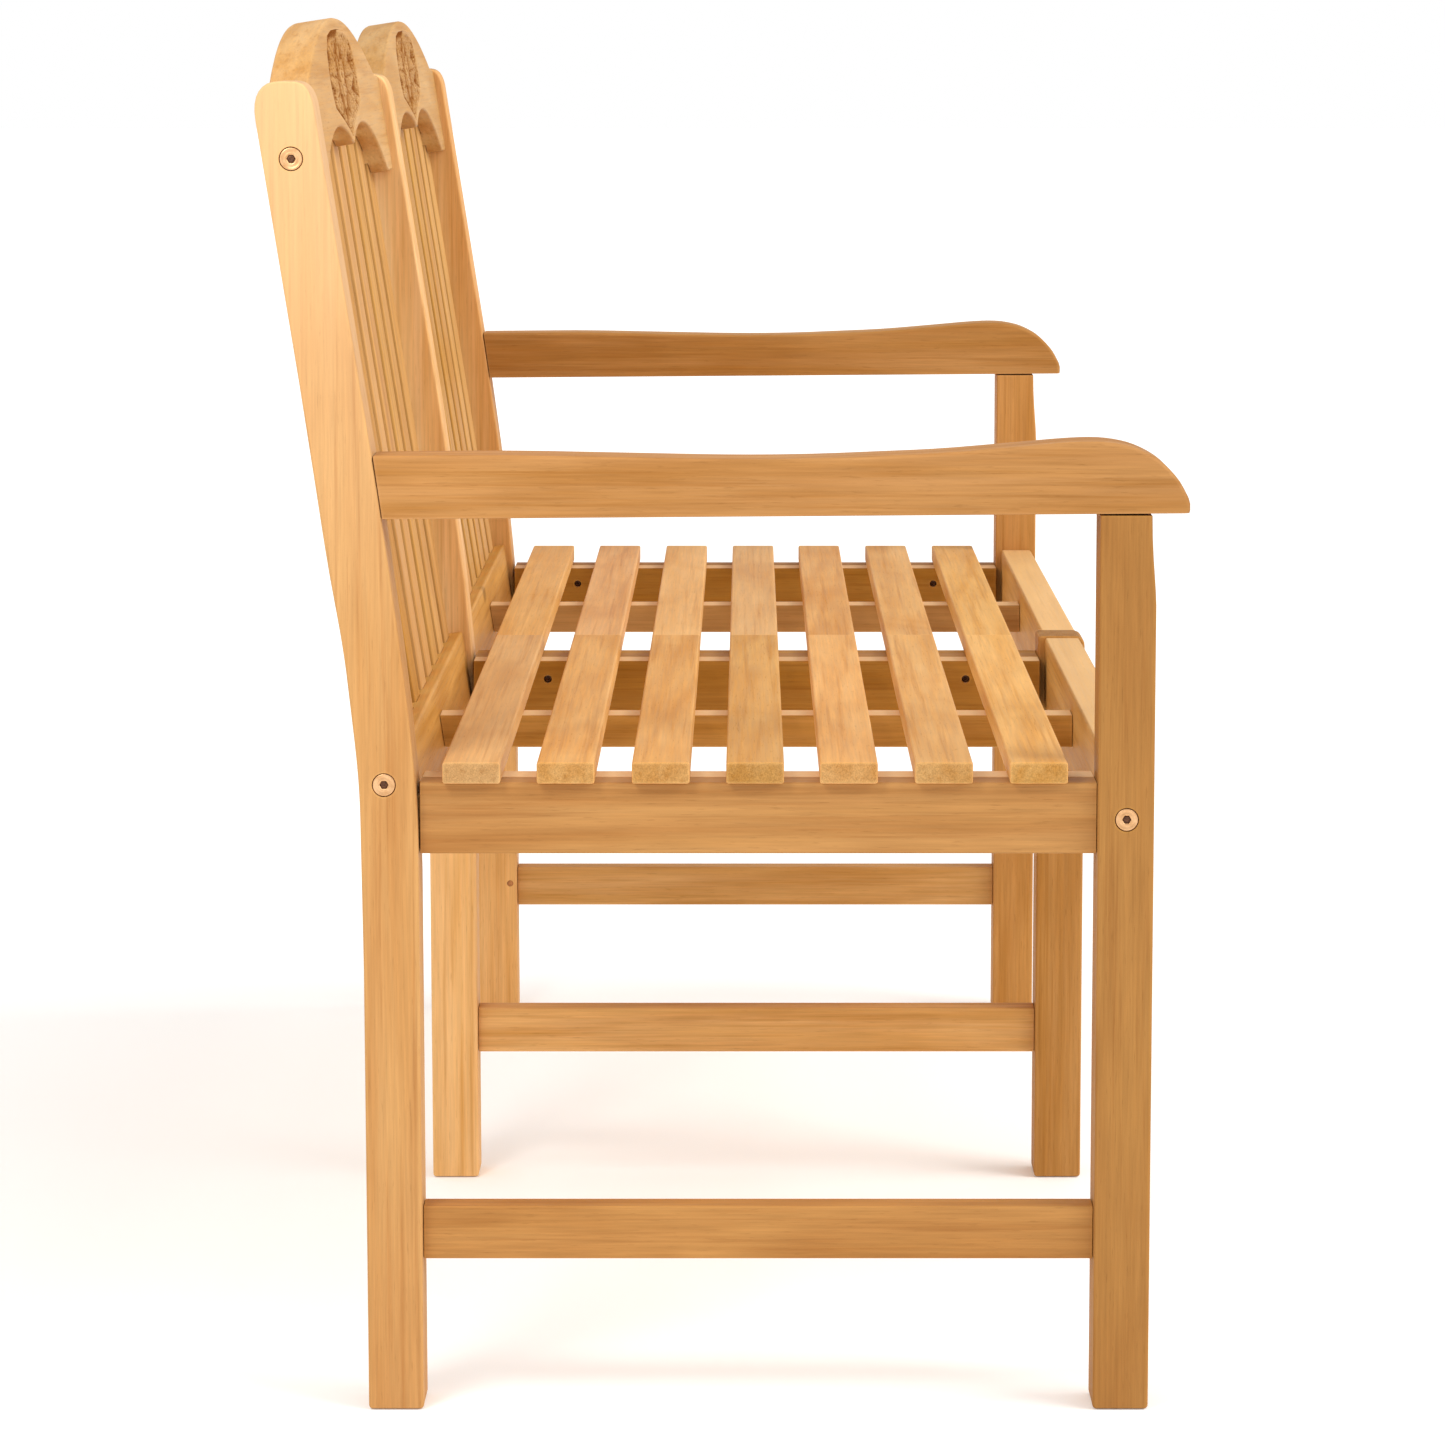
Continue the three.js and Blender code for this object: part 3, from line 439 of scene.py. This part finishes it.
def finish_cad_nodes(materials):
    """Gives every CAD node its timber, a fine arris on its square edges and smooth shading elsewhere."""
    for name, piece in nodes.items():
        kind = next(k for k in materials if name.startswith(k))
        piece.material_slots[0].material = materials[kind]
        mesh = piece.data
        for layer in ("custom_normal", "sharp_edge", "sharp_face"):
            if layer in mesh.attributes:
                mesh.attributes.remove(mesh.attributes[layer])
        mesh.polygons.foreach_set("use_smooth", [True] * len(mesh.polygons))
        weld = piece.modifiers.new("weld", "WELD")
        weld.merge_threshold = WELD_DISTANCE * MM
        merge = piece.modifiers.new("merge_flats", "DECIMATE")
        merge.decimate_type = "DISSOLVE"
        merge.angle_limit = math.radians(FLAT_ANGLE)
        arris = piece.modifiers.new("arris", "BEVEL")
        arris.width = ARRIS_WIDTH * MM
        arris.segments = 1
        arris.limit_method = "ANGLE"
        arris.angle_limit = math.radians(ARRIS_ANGLE)
        arris.use_clamp_overlap = False
        weighted = piece.modifiers.new("weighted_normal", "WEIGHTED_NORMAL")
        weighted.mode = "FACE_AREA"
        weighted.weight = NORMAL_WEIGHT


# ---- fittings -----------------------------------------------------------------------------------

ROUND = False
HEXAGON = True
BOLT_SIDES = 48
SMALL_SIDES = 24

# each profile lists depth, radius and kind of ring, from the end in the timber to the visible face's middle
CONNECTOR_BOLT = [
    (46, 0, ROUND), (46, 2.6, ROUND), (45.2, 3.2, ROUND), (2.75, 3.2, ROUND), (2.7, 6.9, ROUND),
    (2.4, 7.15, ROUND), (0.7, 7.15, ROUND), (0.42, 7.0, ROUND), (0.3, 6.6, ROUND), (0.34, 6.0, ROUND),
    (0.62, 5.3, ROUND), (0.66, 4.4, ROUND), (0.5, 3.9, ROUND), (0.5, 3.4, ROUND), (0.8, 2.5, HEXAGON),
    (2.75, 2.35, HEXAGON), (2.8, 0, ROUND),
]
# painted shade: a dark washer under each bolt head, so that the gap round the head looks shaded
SHADE_WASHER = [
    (2.95, 0, ROUND), (2.95, 7.4, ROUND), (2.6, 7.6, ROUND), (1.3, 7.6, ROUND), (1.2, 7.3, ROUND),
    (1.2, 7.2, ROUND), (2.9, 7.2, ROUND), (2.9, 0, ROUND),
]
# painted shade: a dark floor in each bolt's hex socket
SHADE_SOCKET_FLOOR = [
    (2.7, 0, ROUND), (2.7, 2.1, HEXAGON), (1.5, 2.2, HEXAGON), (1.15, 2.1, HEXAGON), (1.5, 0.9, ROUND),
    (1.6, 0, ROUND),
]
BATTEN_SCREW = [
    (8.8, 0, ROUND), (8.8, 1.6, ROUND), (5.9, 1.7, ROUND), (5.6, 2.75, ROUND), (4.3, 2.8, ROUND),
    (3.8, 2.5, ROUND), (3.6, 1.5, ROUND), (4.9, 1.1, HEXAGON), (5.2, 0, ROUND),
]
DOWEL_END = [
    (7.5, 0, ROUND), (7.5, 2.6, ROUND), (7.0, 2.95, ROUND), (0.1, 2.95, ROUND), (-0.25, 2.7, ROUND),
    (-0.4, 1.6, ROUND), (-0.42, 0, ROUND),
]


def mesh_piece(name, points, faces, material):
    """A smooth piece in the scene that rides on the bench. The points are in metres."""
    mesh = bpy.data.meshes.new(name)
    mesh.from_pydata(points, [], faces)
    mesh.materials.append(material)
    mesh.polygons.foreach_set("use_smooth", [True] * len(mesh.polygons))
    mesh.update()
    piece = bpy.data.objects.new(name, mesh)
    scene.collection.objects.link(piece)
    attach(piece, "root")
    return piece


def hexagon_factor(angle):
    """How far the outline of a hexagon lies at an angle, for a half width of one across the flats."""
    sector = math.pi / 3
    return 1 / math.cos((angle % sector) - sector / 2)


def ring_points(centre, direction, profile, sides):
    points = []
    for depth, radius, kind in profile:
        x = centre[0] - direction * depth
        if radius == 0:
            points.append(Vector((x, centre[1], centre[2])) * MM)
            continue
        for side in range(sides):
            angle = 2 * math.pi * side / sides
            reach = radius * (hexagon_factor(angle) if kind == HEXAGON else 1)
            y = centre[1] + reach * math.cos(angle)
            z = centre[2] + reach * math.sin(angle)
            points.append(Vector((x, y, z)) * MM)
    return points


def turned_piece(name, centre, direction, profile, material, sides=BOLT_SIDES):
    """A closed piece turned about an axis along X. Depths go into the timber from the centre, and direction
    is the way the visible face looks."""
    points = ring_points(centre, direction, profile, sides)
    last = len(points) - 1
    whole_rings = len(profile) - 2
    faces = []
    for i in range(sides):
        j = (i + 1) % sides
        faces.append((0, 1 + j, 1 + i))
        for ring in range(whole_rings - 1):
            low = 1 + ring * sides
            faces.append((low + i, low + j, low + sides + j, low + sides + i))
        end = 1 + (whole_rings - 1) * sides
        faces.append((end + i, end + j, last))
    if direction < 0:
        faces = [tuple(reversed(face)) for face in faces]
    return mesh_piece(name, points, faces, material)


def brass_material():
    """Pale plated bolt heads with fine scuffs, and a painted highlight along their edges."""
    material, tree = new_material("brass_plate")
    position = object_position(tree)
    scuff = noise(tree, position, 900.0, 4.0, 0.6)
    cloud = noise(tree, position, 160.0, 2.0, 0.5)
    colour = blend(tree, remap(tree, cloud, 0.3, 0.7), srgb(232, 186, 138), srgb(206, 156, 106))
    # painted highlight: the bolt heads are paled along their edges
    edge_highlight_mask = remap(tree, edge_facing(tree, 0.0006), 0.98, 0.8, 0.0, 0.5)
    colour = blend(tree, edge_highlight_mask, colour, srgb(250, 222, 190))
    rough = remap(tree, scuff, 0.3, 0.7, 0.32, 0.5)
    shader = surface(tree, colour, rough, bumped(tree, scuff, 0.25, 0.0001))
    shader.inputs["Metallic"].default_value = 0.85
    finish_material(tree, shader)
    return material


def dark_steel_material():
    """Browned steel of the batten screws, and of the dark washers and socket floors that paint the shade
    round and inside each bolt head.
    """
    material, tree = new_material("dark_steel")
    position = object_position(tree)
    scale = noise(tree, position, 700.0, 4.0, 0.6)
    colour = blend(tree, remap(tree, scale, 0.35, 0.7), srgb(74, 48, 34), srgb(120, 78, 52))
    rough = remap(tree, scale, 0.3, 0.7, 0.4, 0.65)
    shader = surface(tree, colour, rough, bumped(tree, scale, 0.3, 0.0001))
    shader.inputs["Metallic"].default_value = 0.7
    finish_material(tree, shader)
    return material


def end_grain_material():
    """Speckled end grain of the dowels."""
    material, tree = new_material("dowel_end_grain")
    position = object_position(tree)
    dots = noise(tree, position, 1500.0, 3.0, 0.6)
    rings = noise(tree, position, 260.0, 2.0, 0.5)
    colour = blend(tree, remap(tree, rings, 0.35, 0.65), srgb(176, 112, 56), srgb(132, 76, 32))
    colour = blend(tree, remap(tree, dots, 0.55, 0.7, 0.0, 0.5), colour, srgb(84, 44, 16))
    rough = remap(tree, dots, 0.3, 0.7, 0.6, 0.8)
    shader = surface(tree, colour, rough, bumped(tree, dots, 0.4, 0.0001))
    finish_material(tree, shader)
    return material


def make_end_fittings(brass, steel, end_grain):
    """Three connector bolts in the outer face of each end frame, and a dowel end on its inner face."""
    for side, direction in (("left", -1), ("right", 1)):
        low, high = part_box(f"rear_leg_{side}")
        outer_x = (low.x if direction < 0 else high.x) / MM
        inner_x = (high.x if direction < 0 else low.x) / MM
        for place, (y, z) in BOLT_CENTRES.items():
            centre = (outer_x, y + CENTRING_Y, z)
            turned_piece(f"bolt_{place}_{side}", centre, direction, CONNECTOR_BOLT, brass)
            # a dark washer and a dark socket floor paint the shade round and inside the head
            turned_piece(f"bolt_shade_washer_{place}_{side}", centre, direction, SHADE_WASHER, steel)
            turned_piece(f"bolt_shade_socket_{place}_{side}", centre, direction, SHADE_SOCKET_FLOOR, steel)
        y, z = STRETCHER_DOWEL
        centre = (inner_x, y + CENTRING_Y, z)
        turned_piece(f"dowel_stretcher_{side}", centre, -direction, DOWEL_END, end_grain, SMALL_SIDES)


def make_batten_screws(steel):
    """Two screws in the free side of each batten that stands against a frame rail."""
    free_sides = {
        "left_outer": (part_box("seat_batten_left_outer")[1].x, 1),
        "left_inner": (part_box("seat_batten_left_inner")[0].x, -1),
        "right_outer": (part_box("seat_batten_right_outer")[0].x, -1),
    }
    for place, (x, direction) in free_sides.items():
        for number, y in enumerate(BATTEN_BOLTS_Y, 1):
            centre = (x / MM, y + CENTRING_Y, BATTEN_BOLT_Z)
            turned_piece(f"screw_{place}_{number}", centre, direction, BATTEN_SCREW, steel, SMALL_SIDES)


def make_fittings():
    steel = dark_steel_material()
    make_end_fittings(brass_material(), steel, end_grain_material())
    make_batten_screws(steel)


# ---- carved relief ------------------------------------------------------------------------------

ROSE_CENTRE = (0.0, 2.0)
ROSE_RINGS = [
    # petals, ring radius, petal radius, base height, turn; the first ring is the bud in the middle
    (1, 0.0, 4.4, 2.75, 0.00),
    (4, 6.4, 6.2, 2.35, 0.10),
    (6, 12.8, 8.8, 1.85, 0.35),
    (8, 20.0, 10.2, 1.35, 0.00),
]
LEAVES = [
    # angle, length, half width
    (0.33, 54.0, 10.5), (-0.29, 52.0, 10.0), (0.02, 60.0, 10.5), (0.66, 34.0, 9.0), (-0.60, 38.0, 9.0),
    (1.12, 17.0, 8.5), (-1.08, 20.0, 8.5),
]
LEAF_START = 26.0
LEAST_LEAF_WIDTH = 0.3
SIDE_VEIN_PITCH = 5.5
SHIELD_MIDDLE_Z = 857.0

# the uncut wood of the panel stands this high over its ground, and lies this deep under the crest's face
CARVING_FLUSH = 3.45
FACE_SETBACK = 0.35
BACK_GAP = 0.1
SIDE_GAP = 0.25
CARVING_ROWS = 120
CARVING_COLUMNS = 220

# the ground falls steeply from the outline on one half and gently on the other
GROUND_DEPTH = 2.75
STEEP_FALL = 5.0
GENTLE_FALL = 17.0

# tool cuts: rays about the rose, and a hatch across the whole shield
RAYS_PER_RADIAN = 23
RAY_DEPTH = 0.7
HATCH_DEPTH = 0.65
# painted shade: the darkest the carving is painted, and the painted shade along its near outline, where the
# recess lies in shade
DARKEST_PAINTED_SHADE = 0.92
OUTLINE_SHADE = 0.9


def smooth_step(value, low, high):
    t = max(0.0, min(1.0, (value - low) / (high - low)))
    return t * t * (3 - 2 * t)


def upright_z(z):
    """The height on the upright back of a height given on the leaning back."""
    return BACK_PIVOT_Z + (z - BACK_PIVOT_Z) / math.cos(RECLINE)


def leaned(x, y, z):
    """A point of the upright back turned to its leaning place, in metres."""
    dy = y - BACK_PIVOT_Y
    dz = z - BACK_PIVOT_Z
    turned_y = BACK_PIVOT_Y + dy * math.cos(RECLINE) + dz * math.sin(RECLINE)
    turned_z = BACK_PIVOT_Z - dy * math.sin(RECLINE) + dz * math.cos(RECLINE)
    return Vector((x, turned_y + CENTRING_Y, turned_z)) * MM


def shield_half_width(z):
    for (x0, z0), (x1, z1) in zip(SHIELD_OUTLINE, SHIELD_OUTLINE[1:]):
        if z1 <= z <= z0:
            return x0 + (x1 - x0) * (z0 - z) / (z0 - z1)
    return 0.0


def border_distance(u, z):
    """How far a point of the shield lies from its outline."""
    distances = []
    for (x0, z0), (x1, z1) in zip(SHIELD_OUTLINE, SHIELD_OUTLINE[1:]):
        ax = x1 - x0
        az = z1 - z0
        t = ((abs(u) - x0) * ax + (z - z0) * az) / (ax * ax + az * az)
        t = max(0.0, min(1.0, t))
        distances.append(math.hypot(abs(u) - x0 - t * ax, z - z0 - t * az))
    return min(distances)


def rose_height(u, w):
    """Overlapping petals: the innermost ring that covers the point is on top."""
    for count, ring, petal, base, turn in ROSE_RINGS:
        best = 0.0
        for k in range(count):
            angle = turn + 2 * math.pi * k / count
            du = u - ring * math.cos(angle)
            dw = w - ring * math.sin(angle)
            away = math.hypot(du, dw) / petal
            if away < 1:
                outward = (du * math.cos(angle) + dw * math.sin(angle)) / petal
                sideways = (dw * math.cos(angle) - du * math.sin(angle)) / petal
                best = max(best, base + 0.45 * outward + 0.35 * sideways - 0.3 * away ** 6)
        if best > 0:
            return best
    return 0.0


def leaf_height(u, w):
    """Domed leaves to both sides of the rose, each with a middle vein and side veins."""
    height = 0.0
    for angle, length, half in LEAVES:
        along = abs(u) * math.cos(angle) + w * math.sin(angle)
        across = -abs(u) * math.sin(angle) + w * math.cos(angle)
        t = (along - LEAF_START) / length
        if not 0 < t < 1:
            continue
        width = half * math.sin(math.pi * t ** 0.8) ** 0.8
        if width < LEAST_LEAF_WIDTH or abs(across) > width:
            continue
        dome = 1.25 + 0.7 * t + 0.9 * (1 - (across / width) ** 2) ** 0.5
        vein = 0.9 * math.exp(-(across / 1.1) ** 2)
        side_veins = 0.6 * abs(math.sin((along - abs(across) * 0.9) * math.pi / SIDE_VEIN_PITCH)) ** 8
        height = max(height, dome - vein - side_veins)
    return height


def carved_height(u, z):
    """Height of the carving above the floor of its recess, and how much painted shade the wood takes there,
    from 0 to 1.
    """
    w = z - SHIELD_MIDDLE_Z
    edge = border_distance(u, z)
    rough = solid_noise.noise(Vector((u * 0.30, z * 0.35, 3.7)))
    fine = solid_noise.noise(Vector((u * 0.9, z * 1.2, 8.1)))

    # the motif is bent a little, so that no petal or leaf is exact
    rose_u = u - ROSE_CENTRE[0]
    rose_w = w - ROSE_CENTRE[1]
    bent_u = rose_u + 2.0 * solid_noise.noise(Vector((u * 0.14, z * 0.14, 1.3)))
    bent_w = rose_w + 2.0 * solid_noise.noise(Vector((u * 0.14, z * 0.14, 5.9)))
    motif = max(rose_height(bent_u, bent_w), leaf_height(bent_u, bent_w)) * smooth_step(edge, 0.6, 3.5)

    # tool cuts, and streaks that vary the painted shade along the rays
    spoke = math.atan2(rose_w, abs(rose_u) + 1e-6) * RAYS_PER_RADIAN
    spoke += 2.2 * rough + 0.05 * math.hypot(rose_u, rose_w)
    rays = abs(math.sin(spoke)) ** 6 * smooth_step(edge, 0.6, 3.0)
    shade_streaks = math.sin(0.5 * spoke + 1.6 * fine) ** 2
    sweep = 0.55 * w + 0.16 * abs(u) + 3.2 * rough + 0.02 * u * w
    hatch = abs(math.sin(sweep)) ** 7 * smooth_step(edge, 1.0, 5.0)

    fall = STEEP_FALL if u < 0 else GENTLE_FALL
    ground = CARVING_FLUSH - GROUND_DEPTH * smooth_step(edge, 0.0, fall) - RAY_DEPTH * rays
    height = max(ground, motif) + 0.16 * rough + 0.12 * fine - HATCH_DEPTH * hatch
    height = max(0.0, min(CARVING_FLUSH, height))

    # painted shade: the ground, the tool cuts and the near outline are painted darker where shade falls in
    # the recess
    recess_shade_level = smooth_step(CARVING_FLUSH - 0.75 - height, 0.0, 1.9)
    if motif > ground:
        recess_shade_level = max(recess_shade_level, 0.85 * hatch)
    else:
        recess_shade_level = max(recess_shade_level * (0.4 + 0.6 * shade_streaks), 0.85 * hatch, 0.9 * rays)
    if u < 0:
        recess_shade_level = max(recess_shade_level, OUTLINE_SHADE * (1 - smooth_step(edge, 3.0, 8.0)))
    return height, max(0.0, min(DARKEST_PAINTED_SHADE, recess_shade_level + 0.5 * rough * recess_shade_level))


def shield_place(row, column):
    """Where a point of the carving's grid lies on the shield: across from its middle, and its height."""
    top = SHIELD_OUTLINE[0][1] - SIDE_GAP * 2
    bottom = SHIELD_OUTLINE[-1][1] + SIDE_GAP * 4
    z = top + (bottom - top) * row / CARVING_ROWS
    half = max(1.0, shield_half_width(z) - SIDE_GAP * 1.4)
    return half * (2 * column / CARVING_COLUMNS - 1), z


def rim_places():
    """The rows and columns around the rim of the grid: along the top, down, back below, and up."""
    rim = [(0, column) for column in range(CARVING_COLUMNS + 1)]
    rim += [(row, CARVING_COLUMNS) for row in range(1, CARVING_ROWS + 1)]
    rim += [(CARVING_ROWS, column) for column in range(CARVING_COLUMNS - 1, -1, -1)]
    rim += [(row, 0) for row in range(CARVING_ROWS - 1, 0, -1)]
    return rim


def make_carving(name, bay_x, material):
    """A closed panel that fills the sunk shield: a flat back in the recess, and a carved face."""
    face_y = BACK_PIVOT_Y + CREST_SETBACK
    points = []
    recess_shade_levels = []
    for row in range(CARVING_ROWS + 1):
        for column in range(CARVING_COLUMNS + 1):
            u, z = shield_place(row, column)
            height, recess_shade_level = carved_height(u, z)
            depth = CARVING_DEPTH - FACE_SETBACK - height
            points.append(leaned(bay_x + u, face_y + depth, upright_z(z)))
            recess_shade_levels.append(recess_shade_level)
    stride = CARVING_COLUMNS + 1
    count = len(points)
    faces = []
    for row in range(CARVING_ROWS):
        for column in range(CARVING_COLUMNS):
            a = row * stride + column
            faces.append((a, a + stride, a + stride + 1, a + 1))

    rim = rim_places()
    for row, column in rim:
        u, z = shield_place(row, column)
        points.append(leaned(bay_x + u, face_y + CARVING_DEPTH - BACK_GAP, upright_z(z)))
        # the walls round the rim take full painted shade
        recess_shade_levels.append(1.0)
    front = [row * stride + column for row, column in rim]
    for i in range(len(rim)):
        j = (i + 1) % len(rim)
        faces.append((front[i], front[j], count + j, count + i))
    faces.append(tuple(count + i for i in range(len(rim))))

    piece = mesh_piece(name, points, faces, material)
    # each point's painted shade, read by the carving's timber
    painted_recess_shade = piece.data.attributes.new("painted_recess_shade", "FLOAT", "POINT")
    painted_recess_shade.data.foreach_set("value", recess_shade_levels)
    return piece


def make_carvings():
    material = timber(
        "timber_carving", "x", GOLDEN, WHOLE, leaning=True, seed=9.5, tint=CREST_TINT, painted_recess_shade=True)
    for side in ("left", "right"):
        low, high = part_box(f"crest_rail_{side}")
        make_carving(f"crest_carving_{side}", (low.x + high.x) / 2 / MM, material)


# ---- stage, light, camera -----------------------------------------------------------------------

# places and sizes in metres, angles in degrees, power in watts; the lens and the sensor are in millimetres
FLOOR_HALF = 40.0
FLOOR_DROP = 0.0005
KEY_PLACE = (-1.3, 0.65, 1.35)
KEY_TARGET = (-0.3, 0.05, 0.55)
KEY_SIZE = 0.5
KEY_POWER = 8
OVERHEAD_PLACE = (-0.8, -3.0, 2.6)
OVERHEAD_ANGLE = 40
OVERHEAD_STRENGTH = 1.9
STUDIO_SEEN = 1.0
STUDIO_GIVEN = 0.84
CAMERA_PLACE = (-3.34627, -0.01669, 0.88389)
CAMERA_DIP = 6.673
CAMERA_LENS = 108.55
CAMERA_REACH = 200
SENSOR_WIDTH = 36
CAMERA_SHIFT = (-0.0176, -0.12)


def make_floor():
    mesh = bpy.data.meshes.new("floor")
    half = FLOOR_HALF
    corners = [(-half, -half, 0), (half, -half, 0), (half, half, 0), (-half, half, 0)]
    mesh.from_pydata(corners, [], [(0, 1, 2, 3)])
    floor = bpy.data.objects.new("floor", mesh)
    scene.collection.objects.link(floor)
    floor.location.z = -FLOOR_DROP
    material, tree = new_material("pale_floor")
    mottle = noise(tree, object_position(tree), 2.5, 3.0, 0.5)
    colour = blend(tree, mottle, (0.93, 0.93, 0.925, 1), (0.96, 0.96, 0.955, 1))
    shader = add_node(tree, "ShaderNodeBsdfPrincipled", {"Base Color": colour})
    shader.inputs["Roughness"].default_value = 0.9
    shader.inputs["Specular IOR Level"].default_value = 0.1
    shader.inputs["Emission Color"].default_value = (1, 1, 1, 1)
    shader.inputs["Emission Strength"].default_value = 0.12
    finish_material(tree, shader)
    mesh.materials.append(material)


def aimed_light(name, kind, location, target, colour):
    data = bpy.data.lights.new(name, kind)
    data.color = colour
    lamp = bpy.data.objects.new(name, data)
    scene.collection.objects.link(lamp)
    lamp.location = location
    aim = Vector(target) - Vector(location)
    lamp.rotation_euler = aim.to_track_quat("-Z", "Y").to_euler()
    lamp.visible_camera = False
    return data


def make_studio():
    """The studio is white to look at, and gives a softer light than it shows."""
    world = bpy.data.worlds.new("studio")
    world.use_nodes = True
    tree = world.node_tree
    tree.nodes.clear()
    seen = add_node(tree, "ShaderNodeBackground", {"Color": (1, 1, 1, 1), "Strength": STUDIO_SEEN})
    given = add_node(tree, "ShaderNodeBackground", {
        "Color": (1.0, 0.995, 0.985, 1), "Strength": STUDIO_GIVEN})
    path = add_node(tree, "ShaderNodeLightPath")
    mixed = add_node(tree, "ShaderNodeMixShader", {
        0: path.outputs["Is Camera Ray"], 1: given.outputs[0], 2: seen.outputs[0]})
    add_node(tree, "ShaderNodeOutputWorld", {"Surface": mixed.outputs[0]})
    scene.world = world


def make_lights():
    key = aimed_light("key", "AREA", KEY_PLACE, KEY_TARGET, (1.0, 0.985, 0.96))
    key.shape = "DISK"
    key.size = KEY_SIZE
    key.energy = KEY_POWER
    overhead = aimed_light("overhead", "SUN", OVERHEAD_PLACE, (0, 0, 0), (1.0, 0.995, 0.985))
    overhead.angle = math.radians(OVERHEAD_ANGLE)
    overhead.energy = OVERHEAD_STRENGTH
    make_studio()


def make_camera():
    data = bpy.data.cameras.new("camera")
    data.sensor_fit = "HORIZONTAL"
    data.sensor_width = SENSOR_WIDTH
    data.lens = CAMERA_LENS
    data.shift_x, data.shift_y = CAMERA_SHIFT
    data.clip_end = CAMERA_REACH
    camera = bpy.data.objects.new("camera", data)
    scene.collection.objects.link(camera)
    camera.location = CAMERA_PLACE
    camera.rotation_euler = (math.radians(90 - CAMERA_DIP), 0, math.radians(-90))
    scene.camera = camera


make_camera()
finish_cad_nodes(timber_materials())
make_fittings()
make_carvings()
make_floor()
make_lights()
scene.view_settings.view_transform = "Standard"
